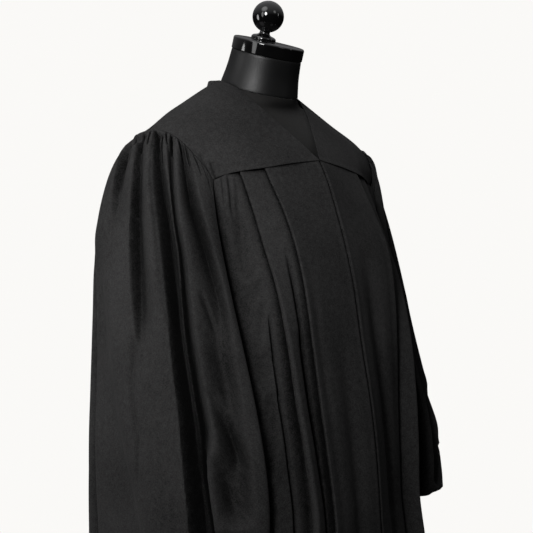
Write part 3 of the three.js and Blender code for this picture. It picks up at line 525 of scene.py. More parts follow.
def frontSurface(side):
    places = [(span, (k / count) ** (front["edgeCrowding"] if span == 0 else 1))
              for span, count in enumerate(front["spans"]) for k in range(count)] + [(22, 1.0)]
    down = np.linspace(0, 1, front["rows"] + 1)
    surface = np.empty((len(down), len(places), 3))
    for j, (span, f) in enumerate(places):
        if span == 22:
            top = mix(underarmHeight, cornerHeight, (1 - f) ** armholePower)
        else:
            out = pathPoint(frontCorners(side, np.array([1300.0])), span, f)[0]
            top = float(column(yokeSeam, "out", "z", np.maximum(out, 0))[0])
        top -= front["yokeDrop"]
        z = mix(top, hemHeight, down ** front["rowCrowding"])
        x, y = pathPoint(frontCorners(side, z), span, f)
        under = front["underYoke"] * (1 - smooth((top - z) / front["underYokeHeight"])) if span < 22 else 0
        if span == 0:
            edge = x - x[0] if f == 0 else x - pathPoint(frontCorners(side, z), 0, 0)[0]
            pressed = front["edgeDepth"] * (1 - smooth(edge / front["edgeTurn"]))
            under = under + pressed - front["edgeRidge"] * bell((edge - front["ridgeAt"]) / front["ridgeHalf"])
        surface[:, j] = np.stack([side * x, y + frontTrough(side, span, f, z) + under, z], axis=1)
    sidePanel = np.array([{20: smooth(f / 0.5), 21: 1, 22: 1 - f}.get(span, 0) for span, f in places])
    return addCreases(surface, surfaceNormals(surface) * side, sideCreases[side], sidePanel[None])


surfaces = {}
for side, name in ((right, "frontRight"), (left, "frontLeft")):
    surfaces[name] = frontSurface(side)
    clothPiece(name, surfaces[name], flip=side == right)
print("fronts made")


# the back

backRows = table("z seam outCorner corner middle", [
    (1330, 187, 172, 92, 96), (1284, 187, 175, 98, 104), (1190, 187, 178, 112, 121), (1095, 187, 180, 122, 136),
    (950, 187, 183, 134, 152), (790, 188, 186, 146, 172), (480, 246, 240, 188, 222), (150, 302, 292, 226, 268),
])
back = {"rows": 130, "columns": 220, "flutes": 11, "fluteTop": 1.8, "fluteHem": 13, "gathers": 44, "gatherDepth": 1.5,
        "corner": 62, "spanShare": (0.55, 0.75, 1)}


def backCorners(z):
    at = lambda name: column(backRows, "z", name, z)
    zero = np.zeros_like(z)
    return [(zero, at("middle"), zero), (at("outCorner"), at("corner"), zero + back["corner"]),
            (at("seam"), zero + 5 + seamGap, zero)]


def backColumn(across, down):
    a = abs(across)
    shares = back["spanShare"]
    span = 0 if a < shares[0] else 1 if a < shares[1] else 2
    start = shares[span - 1] if span else 0
    f = (a - start) / (shares[span] - start)
    top = (mix(underarmHeight, cornerHeight, (1 - f) ** armholePower) if span == 2 else cornerHeight) - seamGap
    z = mix(top, hemHeight, down)
    x, y = pathPoint(backCorners(z), span, f)
    edge = 1 - smooth((a - 0.72) / 0.26)
    sway = 0.22 * np.sin(down * 5.1 + 2.3 * across)
    size = mix(back["fluteTop"], back["fluteHem"], smooth(down * 1.1)) * edge * (1 + 0.25 * np.sin(7.3 * across + 1.1))
    wave = np.cos(np.pi * (across * back["flutes"] + sway * smooth(down * 3))) * size * smooth(down * 9 + 0.1)
    ripple = np.cos(np.pi * across * back["gathers"] + np.sin(9 * across))
    tight = back["gatherDepth"] * edge * smooth(down * 60) * bell(down * 11) * ripple
    return np.stack([np.sign(across) * x, y + wave + tight, z], axis=-1)


surfaces["backPanel"] = np.stack([backColumn(across, np.linspace(0, 1, back["rows"] + 1) ** 1.15)
                             for across in np.linspace(-1, 1, back["columns"] + 1)], axis=1)
clothPiece("backPanel", surfaces["backPanel"], flip=True)
print("back made")


# the yokes

neckEdge = {
    right: table("out fore z", [
        (67, -27, 1446), (66.5, -5, 1438), (63.5, 13, 1428.5), (50, 42, 1402.5), (34, 68, 1375.5),
        (17, 93.5, 1348.5), (0, 120.5, 1318),
    ]),
    left: table("out fore z", [
        (67, -27, 1446), (67, -5, 1437), (65, 13, 1426), (53.5, 42, 1401.5), (38, 68, 1375), (20, 93.5, 1348),
        (0, 120.5, 1318),
    ]),
}
shoulderEdge = {
    right: table("out fore z", [
        (67, -27, 1446), (100, -20, 1432), (150, -16, 1405), (190, -17, 1381), (218, -19, 1358),
    ]),
    left: table("out fore z", [
        (67, -27, 1446), (100, -22, 1424), (150, -20, 1394), (190, -19, 1374), (218, -19, 1358),
    ]),
}
armholeEdge = table("out fore z", [
    (218, -19, 1358), (215, 14, 1353.5), (207.5, 37, 1340), (196.5, 55, 1319), (186, 66, 1301),
    (175, 71, cornerHeight),
])
backNeckEdge = table("out fore z", [
    (67, -27, 1446), (62, -52, 1448), (40, -76, 1448), (0, -84, 1446),
])
backArmholeEdge = table("out fore z", [
    (218, -19, 1358), (216, -46, 1352), (208, -67, 1335), (196, -82, 1309), (183, -89, cornerHeight),
])
yoke = {"rows": 70, "columns": 110, "proud": 0.9, "behind": 1.1, "neckShare": 0.34}
# puckers where the gathers pull at the yoke, as the creases above
yokePuckers = {
    right: table("from to deep half", [
        ((-184, -66, 1310), (-176, -72, 1285), -2.2, 2.6),
        ((-189, -62, 1318), (-183, -67, 1297), 2.2, 2.6),
        ((-177, -71, 1306), (-171, -73, 1286), 1.8, 2.6),
        ((-166, -74, 1304), (-162, -76, 1290), 0.9, 3),
        ((-196, -54, 1326), (-188, -60, 1318), 1.2, 2.4),
    ]),
    left: table("from to deep half", [
        ((184, -66, 1310), (176, -72, 1285), 1.6, 3),
        ((172, -71, 1306), (166, -74, 1288), 1.2, 3),
    ]),
}


def coons(top, bottom, start, end):      # a: across, b: down; each edge gives rows of points
    a = np.linspace(0, 1, len(top))[None, :, None]
    b = np.linspace(0, 1, len(start))[:, None, None]
    return (top[None] * (1 - b) + bottom[None] * b + start[:, None] * (1 - a) + end[:, None] * a
            - top[0] * (1 - a) * (1 - b) - top[-1] * a * (1 - b) - bottom[0] * (1 - a) * b - bottom[-1] * a * b)


def frontYokeSurface(side):
    a = np.linspace(0, 1, yoke["columns"] + 1)
    b = np.linspace(0, 1, yoke["rows"] + 1)
    corner = armholeEdge[-1]
    marks = [{"out": out, "fore": float(column(frontRows[side], "z", name, column(yokeSeam, "out", "z", out)))}
             for name, out in (("centre", 0), ("fold1", 103), ("fold2", 139))]
    out = corner["out"] * a
    seam = np.stack([side * np.maximum(out, 0.3), -column(marks + [corner], "out", "fore", out),
                     column(yokeSeam, "out", "z", out)], axis=1)
    neck = along(edgeLine(neckEdge[side], side), b)
    neck[:, 0] += side * 0.3 * b
    surface = coons(along(edgeLine(shoulderEdge[side], side), a), seam, neck, along(edgeLine(armholeEdge, side), b))
    A, B = np.meshgrid(a, b)
    height = yoke["proud"] * smooth((B - 0.93) / 0.07)
    normal = surfaceNormals(surface) * side
    return addCreases(surface + normal * height[..., None], normal, yokePuckers[side])


def backYokeSurface():
    halves = []
    b = np.linspace(0, 1, yoke["rows"] + 1)
    for side in (right, left):
        neck, shoulder = edgeLine(backNeckEdge, side), edgeLine(shoulderEdge[side], side)
        arm = along(edgeLine(backArmholeEdge, side), b)
        arm[:, 1] += yoke["behind"] * (1 - b)
        columnsMade = []
        for a in np.linspace(0, 1, yoke["columns"] + 1):
            if a < yoke["neckShare"]:
                top = along(neck, 1 - a / yoke["neckShare"])
            else:
                top = along(shoulder, (a - yoke["neckShare"]) / (1 - yoke["neckShare"])) + (0, yoke["behind"], -0.15)
            y = float(pathPoint(backCorners(np.array([float(cornerHeight)])), 0, min(a * 1.3, 1))[1][0])
            foot = np.array([side * 183 * a, mix(y, 89, float(smooth(a))), cornerHeight])
            bulge = np.array([top[0], max(top[1], foot[1] * 0.93), mix(top[2], foot[2], 0.42)])
            t = b[:, None]
            inner = (1 - t) ** 2 * top + 2 * t * (1 - t) * bulge + t * t * foot
            columnsMade.append(mix(inner, arm, float(smooth((a - 0.8) / 0.2))))
        halves.append(columnsMade)
    half = np.stack(halves[0][::-1] + halves[1][1:], axis=1)
    height = yoke["proud"] * smooth((b - 0.93) / 0.07)
    return half + (surfaceNormals(half) * -1) * height[:, None, None]


for side, name in ((right, "yokeFrontRight"), (left, "yokeFrontLeft")):
    surfaces[name] = frontYokeSurface(side)
    clothPiece(name, surfaces[name], flip=side == right, wall=1.6)
surfaces["yokeBack"] = backYokeSurface()
clothPiece("yokeBack", surfaces["yokeBack"], flip=True, wall=1.6)
print("yokes made")


# the sleeves

sleeveGuides = {
    right: table("leave fall hem", [
        ((200, 100, 1160), (196, 215, 930), (196, 202, 785)),
        ((228, 45, 1310), (250, 140, 960), (256, 150, 783)),
        ((260, -12, 1330), (290, 12, 1080), (286, 28, 778)),
        ((275, -99, 1308), (269, -106, 1050), (266, -98, 758)),
        ((203, -112, 1190), (206, -150, 980), (205, -146, 748)),
        ((198, -84, 1120), (197, -88, 950), (202, -85, 752)),
        ((197, -3, 1070), (196, 20, 930), (201, 25, 768)),
        ((197, 84, 1130), (195, 140, 950), (194, 130, 780)),
    ]),
    left: table("leave fall hem", [
        ((202, 100, 1170), (197, 192, 930), (198, 164, 796)),
        ((242, 64, 1342), (250, 158, 880), (260, 150, 792)),
        ((262, -10, 1345), (290, 12, 1080), (288, 28, 784)),
        ((266, -95, 1312), (266, -106, 1050), (268, -98, 770)),
        ((203, -112, 1190), (206, -150, 980), (205, -146, 764)),
        ((198, -84, 1120), (197, -88, 950), (201, -85, 766)),
        ((197, -3, 1070), (196, 20, 930), (199, 25, 776)),
        ((197, 84, 1130), (195, 128, 950), (196, 108, 788)),
    ]),
}
sleeve = {
    "rows": {right: 116, left: 90}, "columns": {right: 340, left: 280}, "spread": ([0, .70, .85, 1], [0, .34, .5, 1]),
    "rootGap": 2.3, "rootAngle": 32, "ringLength": 830, "length": 560, "closest": 0.003, "lastSpan": 0.07,
    "lineReach": 0.03, "topStart": 0.12, "leftShare": 0.8, "leftSink": 12,
}
# crests and hollows that run down the sleeve, from the back to the front: down and at are places on the
# sleeve, from 0 to 1 along it and round its ring, and deep is how far the cloth lies inward there
sleeveLines = table("name down at deep", [
    ("aftEdge", [.46, .55, .635, .733, .812, .902, .983], [.377, .383, .385, .389, .375, .366, .366],
     [2, 6, 7, 6, 5, 5, 6]),
    ("aftHollow", [.413, .478, .573, .657, .755, .828, .888, .943, .99],
     [.334, .349, .34, .332, .318, .303, .288, .271, .26], [0, 6, 13, 16, 17, 17, 17, 16, 16]),
    ("aftCrest", [.42, .497, .588, .67, .76, .828, .885, .938, .985],
     [.318, .311, .298, .285, .272, .26, .248, .236, .228], [2, 2, 1, 0, 0, 0, 0, 0, 0]),
    ("sideEdge", [.107, .198, .28, .35, .422], [.336, .326, .323, .317, .311], [1, 2, 3, 3, 3]),
    ("sideHollow", [.068, .113, .23, .315, .385, .455], [.32, .339, .322, .312, .298, .287],
     [10, 15, 17, 14, 9, 3]),
    ("sideCrest", [.135, .193, .285, .378, .458, .527, .588, .645],
     [.266, .267, .264, .259, .257, .252, .246, .239], [0, 0, 0, 0, 0, 0, 0, 0]),
    ("backHollow", [.058, .128, .217, .275, .37, .453, .512, .588, .645, .68],
     [.257, .264, .258, .256, .257, .263, .258, .249, .236, .229], [6, 9, 12, 15, 18, 22, 22, 18, 10, 3]),
    ("backCrest", [.098, .168, .263, .338, .403, .48, .54, .618, .672],
     [.223, .222, .219, .211, .205, .199, .194, .192, .189], [0, 0, -2, -2, -3, -3, -2, 0, 0]),
    ("mainEdge", [.103, .2, .273, .333, .395, .45, .54, .625, .688, .748, .82, .895, .97],
     [.221, .213, .209, .202, .195, .189, .181, .176, .172, .168, .166, .163, .16],
     [4, 2, 2, 2, 2, 2, 1, 0, -1, -1, -1, -1, -1]),
    ("mainFloor", [.095, .18, .253, .312, .372, .432, .527, .618, .682, .75, .825, .9, .978],
     [.215, .206, .197, .19, .181, .179, .175, .174, .17, .171, .169, .165, .157],
     [12, 18, 22, 26, 31, 34, 38, 40, 42, 43, 45, 46, 46]),
    ("stripCrest", [.113, .175, .245, .3, .362, .417, .515, .605, .667, .733, .79, .843, .895, .975],
     [.174, .17, .165, .162, .159, .154, .155, .155, .151, .148, .148, .153, .154, .147],
     [1, 3, 5, 8, 12, 16, 19, 21, 23, 26, 32, 42, 46, 46]),
    ("foreFoot", [.1, .18, .268, .335, .42, .522, .623, .685, .728, .775, .845, .897, .978],
     [.162, .161, .161, .16, .161, .155, .156, .149, .143, .14, .156, .158, .149],
     [7, 11, 14, 18, 26, 31, 35, 37, 40, 41, 53, 55, 55]),
    ("foreCrest", [.095, .188, .285, .348, .4, .505, .6, .665, .72, .768, .82, .875, .96],
     [.14, .139, .138, .134, .126, .123, .119, .113, .107, .105, .118, .117, .109],
     [0, 0, -2, -3, -3, -4, -4, -4, -4, -5, -4, -3, -3]),
    ("foreHollow", [.037, .147, .22, .275, .323, .39, .455, .552, .615, .667, .723, .782, .855, .915],
     [.12, .107, .098, .087, .072, .061, .06, .078, .078, .076, .081, .072, .081, .08],
     [7, 15, 21, 25, 21, 19, 16, 14, 19, 14, 15, 21, 21, 18]),
    ("edgeCrest", [.05, .135, .205, .273, .357, .45, .55, .62, .69, .77, .855, .95],
     [.088, .071, .062, .049, .035, .03, .036, .038, .039, .039, .038, .033],
     [0, 0, -1, -1, -1, -1, 0, 0, 0, 0, 0, 0]),
])
# softer folds behind, with their half width round the ring
sleeveFolds = table("name down at deep half", [
    ("turn", [0, .3, .6, 1], [.372, .385, .378, .366], [3, 7, 10, 12], .012),
    ("aft", [0, .3, .6, 1], [.402, .415, .418, .405], [4, 8, 6, 2], .013),
    ("rear", [0, .3, .6, 1], [.425, .440, .446, .444], [4, 6, 11, 12], .012),
    ("inner", [0, .3, .6, 1], [.455, .478, .487, .488], [3.5, 5, 5, 5], .010),
])
# tucks at the armhole seam and short creases below them: both ends' places, depth and half width in mm
sleeveCreases = table("from to deep half", [
    ((.068, .32), (.2, .319), 9, 4.5),
    ((.028, .303), (.193, .29), 11, 3.6),
    ((.033, .261), (.16, .263), 11, 3.4),
    ((.022, .235), (.122, .235), 8, 2.8),
    ((.018, .218), (.147, .204), 9, 3.2),
    ((.043, .192), (.21, .19), 7, 2.8),
    ((.0, .182), (.1, .173), 6, 2.4),
    ((.0, .163), (.14, .156), 11, 3),
    ((.0, .14), (.11, .119), 9, 3),
    ((.0, .114), (.09, .093), 8, 2.8),
    ((.0, .087), (.058, .056), 6, 2.6),
    ((.0, .054), (.052, .017), 3.5, 2.2),
    ((.0, .03), (.083, .007), 2.5, 2),
    ((.58, .181), (.615, .17), 1.8, 2),
    ((.695, .204), (.71, .177), 1.8, 2),
    ((.853, .217), (.858, .191), 1.8, 2),
    ((.675, .243), (.775, .247), 4, 5),
    ((.775, .246), (.84, .236), 3, 3.5),
    ((.84, .236), (.922, .241), 2.5, 3),
    ((.69, .104), (.797, .067), 7, 9),
    ((.84, .101), (.917, .089), 6, 8),
    ((.84, .133), (.81, .095), 4, 3),
    ((.482, .1), (.53, .084), 4, 6),
    ((0, .340), (.13, .350), 5, 3.5),
    ((0, .362), (.10, .374), 5, 3.5),
    ((0, .385), (.13, .398), 5, 3.5),
    ((0, .410), (.09, .424), 4.5, 3.5),
    ((0, .436), (.12, .448), 4, 3.5),
    ((0, .464), (.08, .472), 3, 3),
])


def armholeRing(side, around):      # front yoke corner, over the shoulder, back corner, and under the arm
    low = np.array([0.0])
    under = [backColumn(side * mix(back["spanShare"][1], 1, f), low)[0] for f in np.linspace(0, 1, 41)]
    fore = []
    for f in np.linspace(0, 1, 41):
        top = mix(underarmHeight, cornerHeight, (1 - f) ** armholePower) - front["yokeDrop"]
        x, y = pathPoint(frontCorners(side, np.array([top])), 22, f)
        fore.append((side * float(x[0]), float(y[0]), top))
    under, fore = np.array(under), np.array(fore)
    result = np.empty((len(around), 3))
    for k, a in enumerate(around):
        quarter, f = int(a * 4) % 4, a * 4 - int(a * 4)
        if quarter == 0:
            result[k] = along(edgeLine(armholeEdge, side), 1 - f)
        elif quarter == 1:
            result[k] = along(edgeLine(backArmholeEdge, side), f)
        elif quarter == 2:
            result[k] = [np.interp(f, np.linspace(0, 1, 41), under[:, n]) for n in range(3)]
        else:
            result[k] = [np.interp(1 - f, np.linspace(0, 1, 41), fore[:, n]) for n in range(3)]
    return result


def guidePoints(side, name, around):
    rows = np.array([row[name] for row in sleeveGuides[side]], float)
    count = len(rows)
    i = np.floor(around * count).astype(int)
    t = (around * count - i)[:, None]
    a, b, c, d = (rows[(i + k) % count] for k in (-1, 0, 1, 2))
    p = 0.5 * (2 * b + (c - a) * t + (2 * a - 5 * b + 4 * c - d) * t ** 2 + (3 * b - a - 3 * c + d) * t ** 3)
    return p * (side, -1, 1)


def lineDepth(A, down):      # rounded from each crest and hollow to the next
    depth = np.zeros_like(A)
    reach, start = sleeve["lineReach"], sleeve["topStart"]
    for i, d in enumerate(down):
        rows = [row for row in sleeveLines
                if row["down"][0] - reach <= d <= row["down"][-1] + reach or row["down"][0] < start > d]
        at = [float(curveThrough(row["down"], row["at"], d)) for row in rows]
        deep = [float(curveThrough(row["down"], row["deep"], d)) for row in rows]
        for k in range(1, len(at)):
            at[k] = min(at[k], at[k - 1] - sleeve["closest"])
        at = np.array([0] + at[::-1] + [at[0] + sleeve["lastSpan"]])
        deep = np.array([0] + deep[::-1] + [0])
        k = np.clip(np.searchsorted(at, A[i]) - 1, 0, len(at) - 2)
        f = (A[i] - at[k]) / (at[k + 1] - at[k])
        depth[i] = mix(deep[k], deep[k + 1], smooth(f))
    kernel = np.array([1, 2, 3, 2, 1]) / 9      # softens where a line starts or ends
    padded = np.pad(depth, ((2, 2), (0, 0)), mode="edge")
    return sum(w * padded[k:k + len(down)] for k, w in enumerate(kernel))


def creaseDepth(A, D, row):
    ring, length = sleeve["ringLength"], sleeve["length"]
    start, end = (np.array([row[key][1] * ring, row[key][0] * length]) for key in ("from", "to"))
    run = end - start
    x, y = A * ring - start[0], D * length - start[1]
    share = (x * run[0] + y * run[1]) / (run @ run)
    near = np.clip(share, 0, 1)
    off = np.hypot(x - near * run[0], y - near * run[1]) / row["half"]
    return row["deep"] * (bell(off) - 0.15 * bell((off - 2.1) / 0.7)) * smooth((1.25 - share) / 0.6)


def sleeveSurface(side):
    columns, rows = sleeve["columns"][side], sleeve["rows"][side]
    t = np.linspace(0, 1, columns + 1)
    around = np.interp(t, *sleeve["spread"])
    wrapped = np.where(around >= 1, 0, around)
    down = np.linspace(0, 1, rows + 1) ** 1.25
    root = armholeRing(side, wrapped)
    swing = math.radians(sleeve["rootAngle"]) * np.cos(2 * np.pi * around)
    root += np.stack([side * np.cos(swing), -np.sin(swing), 0 * swing], axis=1) * sleeve["rootGap"]
    leave, fall, hem = (guidePoints(side, name, wrapped) for name in ("leave", "fall", "hem"))
    d = down[:, None, None]
    base = (1 - d) ** 3 * root + 3 * (1 - d) ** 2 * d * leave + 3 * (1 - d) * d * d * fall + d ** 3 * hem
    normal = surfaceNormals(base, ring=True) * side
    A, D = np.meshgrid(around, down)
    depth = lineDepth(A, down) * smooth(D * 14)
    for row in sleeveFolds:
        at = curveThrough(row["down"], row["at"], D)
        depth += curveThrough(row["down"], row["deep"], D) * bell((A - at) / row["half"]) * smooth(D * 12)
    for row in sleeveCreases:
        depth += creaseDepth(A, D, row) * smooth(D * 60)
    if side == left:
        sunk = smooth((D - 0.08) / 0.2) * (1 - smooth((D - 0.5) / 0.3))
        depth = depth * sleeve["leftShare"] + sleeve["leftSink"] * sunk
    return base - normal * depth[..., None]


for side, name in ((right, "sleeveRight"), (left, "sleeveLeft")):
    surfaces[name] = sleeveSurface(side)
    clothPiece(name, surfaces[name], ring=True, flip=side == right)
print("sleeves made")


# the dress form

formTilt = math.radians(17)
neckBase = {"fore": -6.5, "z": 1435, "radius": 62}
neckShape = {"topRadius": 55, "length": 56, "waist": 0.8}
capShape = {"radius": 56, "thick": 20, "rim": 3}
finialShape = {"footRadius": 19.5, "footHeight": 5, "stemRadius": 8, "stemHeight": 9, "ballRadius": 24.6, "back": 14}
formRows = table("z wide middle front back", [
    (1392, 134, -8, 49, 62), (1372, 168, -5, 67, 72), (1350, 192, -2, 85, 79), (1335, 200, 0, 94, 82),
    (1316, 198, 0, 101, 85), (1290, 184, 0, 110, 88), (1262, 172, 0, 127, 89), (1235, 163, 0, 134, 90),
    (1180, 150, 0, 128, 87), (1100, 132, 0, 108, 80), (1040, 126, 0, 98, 82), (960, 146, 0, 104, 100),
    (880, 164, 0, 108, 114), (830, 163, 0, 105, 110), (806, 150, 0, 96, 98), (800, 138, 0, 88, 90),
])
torso = {"columns": 96, "rows": 110, "shoulderRows": 26, "join": 1392}


def torsoSurface():
    angle = np.linspace(0, 2 * np.pi, torso["columns"] + 1)
    cosine, sine = np.cos(angle), np.sin(angle)

    def oval(z):
        wide, middle, fore, aft = (float(column(formRows, "z", key, z)) for key in ("wide", "middle", "front", "back"))
        deep = np.where(sine < 0, fore - middle, aft + middle)
        return np.stack([wide * cosine, deep * sine - middle, np.full_like(angle, z)], axis=1)

    axis = np.array([0, -math.sin(formTilt), math.cos(formTilt)])
    up = np.array([0, math.cos(formTilt), math.sin(formTilt)])
    centre = np.array([0, -neckBase["fore"], neckBase["z"] - seamGap])
    neckRing = centre + neckBase["radius"] * (cosine[:, None] * np.array([1, 0, 0]) + sine[:, None] * up)
    first, second = oval(torso["join"]), oval(torso["join"] - 6)
    lift = (first - second) / 6
    rings = []
    for s in np.linspace(1, 0, torso["shoulderRows"], endpoint=False):
        a, b = first + lift * 14, neckRing - axis * 14
        rings.append((1 - s) ** 3 * first + 3 * (1 - s) ** 2 * s * a + 3 * (1 - s) * s * s * b + s ** 3 * neckRing)
    rings += [oval(z) for z in mix(torso["join"], 800, np.linspace(0, 1, torso["rows"]))]
    return np.stack(rings, axis=0)


def closedRings(name, surface):      # a ring surface whose first and last rows are closed with faces
    rows, columns = surface.shape[0] - 1, surface.shape[1] - 1
    bm = bmesh.new()
    bmesh.ops.create_grid(bm, x_segments=columns, y_segments=rows, size=0.5)
    for v in bm.verts:
        j, i = round((v.co.x + 0.5) * columns), rows - round((v.co.y + 0.5) * rows)
        v.co = surface[i, j] * mm
    bmesh.ops.remove_doubles(bm, verts=bm.verts[:], dist=1e-6)
    bmesh.ops.holes_fill(bm, edges=bm.edges[:], sides=0)
    bmesh.ops.recalc_face_normals(bm, faces=bm.faces[:])
    return finishMesh(name, bm)


def finishMesh(name, bm, sharp=40):
    mesh = bpy.data.meshes.new(name)
    bm.to_mesh(mesh)
    bm.free()
    mesh.shade_smooth()
    mesh.set_sharp_from_angle(angle=math.radians(sharp))
    piece = bpy.data.objects.new(name, mesh)
    bpy.context.collection.objects.link(piece)
    return piece


def turned(name, profile, steps=96, place=None, bevel=0, sharp=40):      # profile of (radius, height) spun about Z
    bm = bmesh.new()
    verts = [bm.verts.new((r * mm, 0, z * mm)) for r, z in profile]
    edges = [bm.edges.new(pair) for pair in zip(verts, verts[1:])]
    bmesh.ops.spin(bm, geom=verts + edges, cent=(0, 0, 0), axis=(0, 0, 1), angle=2 * math.pi,
                   steps=steps, use_merge=True)
    bmesh.ops.remove_doubles(bm, verts=bm.verts[:], dist=1e-6)
    bmesh.ops.recalc_face_normals(bm, faces=bm.faces[:])
    if bevel:
        hard = [e for e in bm.edges if e.is_manifold and e.calc_face_angle(0) > math.radians(50)]
        bmesh.ops.bevel(bm, geom=hard, offset=bevel * mm, affect="EDGES", segments=3, profile=0.5, material=-1)
    if place:
        bmesh.ops.transform(bm, matrix=place, verts=bm.verts[:])
    return finishMesh(name, bm, sharp)


def roundedRim(radius, height, r):      # quarter round at the top of a turned profile
    turns = [k * math.pi / 12 for k in range(1, 7)]
    return [(radius - r + r * math.cos(a), height - r + r * math.sin(a)) for a in turns]


closedRings("formTorso", torsoSurface())
head = Matrix.Translation((0, -neckBase["fore"] * mm, neckBase["z"] * mm)) @ Matrix.Rotation(formTilt, 4, "X")
mid = mix(neckBase["radius"], neckShape["topRadius"], 0.55) - neckShape["waist"]
neckProfile = [(0, 0), (neckBase["radius"], 0)]
neckLength, neckTop = neckShape["length"], neckShape["topRadius"]
neckProfile += [(float(curveThrough([0, neckLength / 2, neckLength], [neckBase["radius"], mid, neckTop], z)), z)
                for z in range(4, neckLength, 4)]
neckProfile += [(neckTop, neckLength), (0, neckLength)]
turned("formNeck", neckProfile, place=head, bevel=0.8)
rim, capRadius, capThick = capShape["rim"], capShape["radius"], capShape["thick"]
capProfile = [(0, 0), (capRadius - 1.2, 0), (capRadius, 1.2), (capRadius, capThick - rim)]
capProfile += roundedRim(capRadius, capThick, rim) + [(0, capThick)]
turned("formCap", capProfile, place=head @ Matrix.Translation((0, 0, (neckLength + seamGap) * mm)))
fin = finialShape
ballCentre = fin["footHeight"] + fin["stemHeight"] + math.sqrt(fin["ballRadius"] ** 2 - fin["stemRadius"] ** 2)
start = math.asin(fin["stemRadius"] / fin["ballRadius"])
finialProfile = [(0, 0), (fin["footRadius"] - 0.8, 0), (fin["footRadius"], 0.8), (fin["footRadius"], 3.2), (19.1, 4.6),
                 (17.9, 6), (15.8, 7.1), (12.8, 7.9), (10.2, 8.8), (8.7, 10.1), (8, 11.8), (fin["stemRadius"], 13)]
finialProfile += [(fin["ballRadius"] * math.sin(a), ballCentre - fin["ballRadius"] * math.cos(a))
                  for a in np.linspace(start, math.pi, 30)[:-1]] + [(0, ballCentre + fin["ballRadius"])]
finialPlace = Matrix.Translation((0, fin["back"] * mm, (neckLength + capThick + 2 * seamGap) * mm))
turned("formFinial", finialProfile, steps=64, place=head @ finialPlace)

stand = {"radius": 170, "thick": 14, "edge": 3, "bossHeight": 26, "poleRadius": 16}
top = stand["thick"] + stand["bossHeight"]
baseProfile = [(0, 0), (stand["radius"] - 1, 0), (stand["radius"], 1), (stand["radius"], stand["thick"] - stand["edge"])]
baseProfile += roundedRim(stand["radius"], stand["thick"], stand["edge"])
baseProfile += [(120, 14.4), (70, 14.8), (44, 15.4), (37, 17), (33, 20), (30, 25), (27.5, 31), (25, 36), (23, 39)]
baseProfile += [(21, top), (0, top)]
turned("standBase", baseProfile, steps=128)
poleFoot, poleTop = top + seamGap, formRows[-1]["z"] - seamGap
poleRadius = stand["poleRadius"]
turned("standPole", [(0, poleFoot), (poleRadius, poleFoot), (poleRadius, poleTop), (0, poleTop)], steps=64, bevel=0.6)
print("dress form made")


# finishes and bodies

finishes = [
    (gownCloth, "gown_cloth", {
        "yokeFrontRight": "yoke_front_right", "yokeFrontLeft": "yoke_front_left", "yokeBack": "yoke_back",
        "frontRight": "front_right", "frontLeft": "front_left", "backPanel": "back",
        "sleeveRight": "sleeve_right", "sleeveLeft": "sleeve_left",
    }),
    (formJersey, "form_jersey", {"formTorso": "form_torso"}),
    (vinyl, "form_vinyl", {"formNeck": "form_neck"}),
    (lacquer, "form_gloss", {"formCap": "form_cap", "formFinial": "form_finial"}),
    (powderCoat, "stand_metal", {"standBase": "stand_base", "standPole": "stand_pole"}),
]
for material, slotName, pieces in finishes:
    for name, nodeName in pieces.items():
        piece = bpy.data.objects[name]
        piece.data.materials.append(material)
        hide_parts(nodeName)
        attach(piece, "root")
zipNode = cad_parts["front_zip"]
zipNode.data.materials.clear()
zipNode.data.materials.append(zipTapeCloth)


# floor and light

bm = bmesh.new()
bmesh.ops.create_circle(bm, cap_ends=True, cap_tris=False, segments=96, radius=1.3)
floor = finishMesh("floor", bm)
floorMaterial = newMaterial("paleFloor", {"Base Color": (0.8, 0.8, 0.79, 1), "Roughness": 0.9})[0]
floor.data.materials.append(floorMaterial)

world = bpy.data.worlds.new("studio")
bpy.context.scene.world = world
world.use_nodes = True
worldTree = world.node_tree
worldTree.nodes.clear()
ray = worldTree.nodes.new("ShaderNodeLightPath")
ambient = node(worldTree, "ShaderNodeBackground", {"Color": (0.9, 0.95, 1, 1), "Strength": 0.004})
backdrop = node(worldTree, "ShaderNodeBackground", {"Color": (0.957, 0.948, 0.930, 1), "Strength": 1.0})
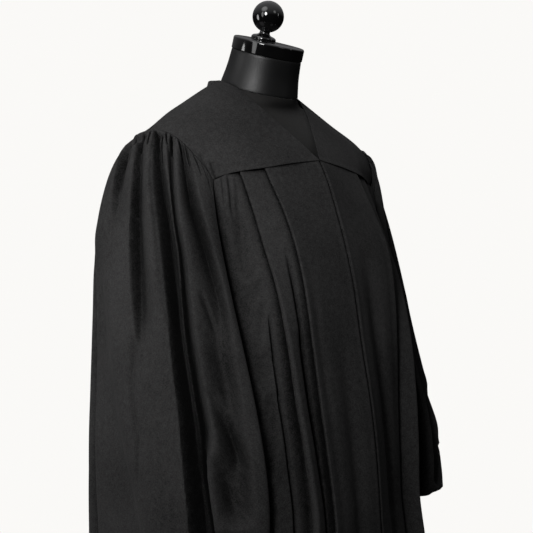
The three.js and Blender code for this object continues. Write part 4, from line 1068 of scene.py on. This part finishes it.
# gloss sees a soft ceiling that fades towards the floor
heading = worldTree.nodes.new("ShaderNodeTexCoord")
upward = node(worldTree, "ShaderNodeSeparateXYZ", Vector=heading.outputs["Generated"])
fade = colourRamp(worldTree, upward.outputs[2], (0.005, 0.005, 0.005), (0.45, 0.45, 0.46), 0.1, 0.95)
ceiling = node(worldTree, "ShaderNodeBackground", Color=fade)
glossOrNot = node(worldTree, "ShaderNodeMixShader", Fac=ray.outputs["Is Glossy Ray"])
worldTree.links.new(ambient.outputs[0], glossOrNot.inputs[1])
worldTree.links.new(ceiling.outputs[0], glossOrNot.inputs[2])
chosen = node(worldTree, "ShaderNodeMixShader", Fac=ray.outputs["Is Camera Ray"])
worldTree.links.new(glossOrNot.outputs[0], chosen.inputs[1])
worldTree.links.new(backdrop.outputs[0], chosen.inputs[2])
worldTree.links.new(chosen.outputs[0], worldTree.nodes.new("ShaderNodeOutputWorld").inputs[0])

# azimuth is measured from the camera's side, positive to the image's right; sizes in metres, power in watts
lights = table("name azimuth height distance size spread power", [
    ("key", -17, 2.0, 2.2, (0.6, 0.9), 60, 2.9),
    ("keyFront", -42, 1.85, 2.2, (0.6, 1.4), 180, 3.8),
    ("keySide", -82, 1.35, 2.0, (0.6, 1.1), 180, 6.8),
    ("keyTop", -35, 2.5, 0.9, (0.9, 0.9), 80, 0.65),
    ("rightTop", 50, 2.2, 1.45, (0.5, 0.5), 70, 0.1),
    ("rimStrip", 78, 1.9, 2.4, (0.12, 0.7), 180, 0.8),
])
aim = Vector((0, 0, 1.4))
for light in lights:
    data = bpy.data.lights.new(light["name"], "AREA")
    data.shape = "ELLIPSE"
    data.size, data.size_y = light["size"]
    data.energy = light["power"]
    data.spread = math.radians(light["spread"])
    lamp = bpy.data.objects.new(light["name"], data)
    bpy.context.collection.objects.link(lamp)
    angle = turn - math.radians(light["azimuth"])
    lamp.location = (-light["distance"] * math.sin(angle), -light["distance"] * math.cos(angle), light["height"])
    lamp.rotation_euler = (aim - lamp.location).to_track_quat("-Z", "Y").to_euler()
bpy.context.scene.view_settings.view_transform = "Standard"
print("light set")
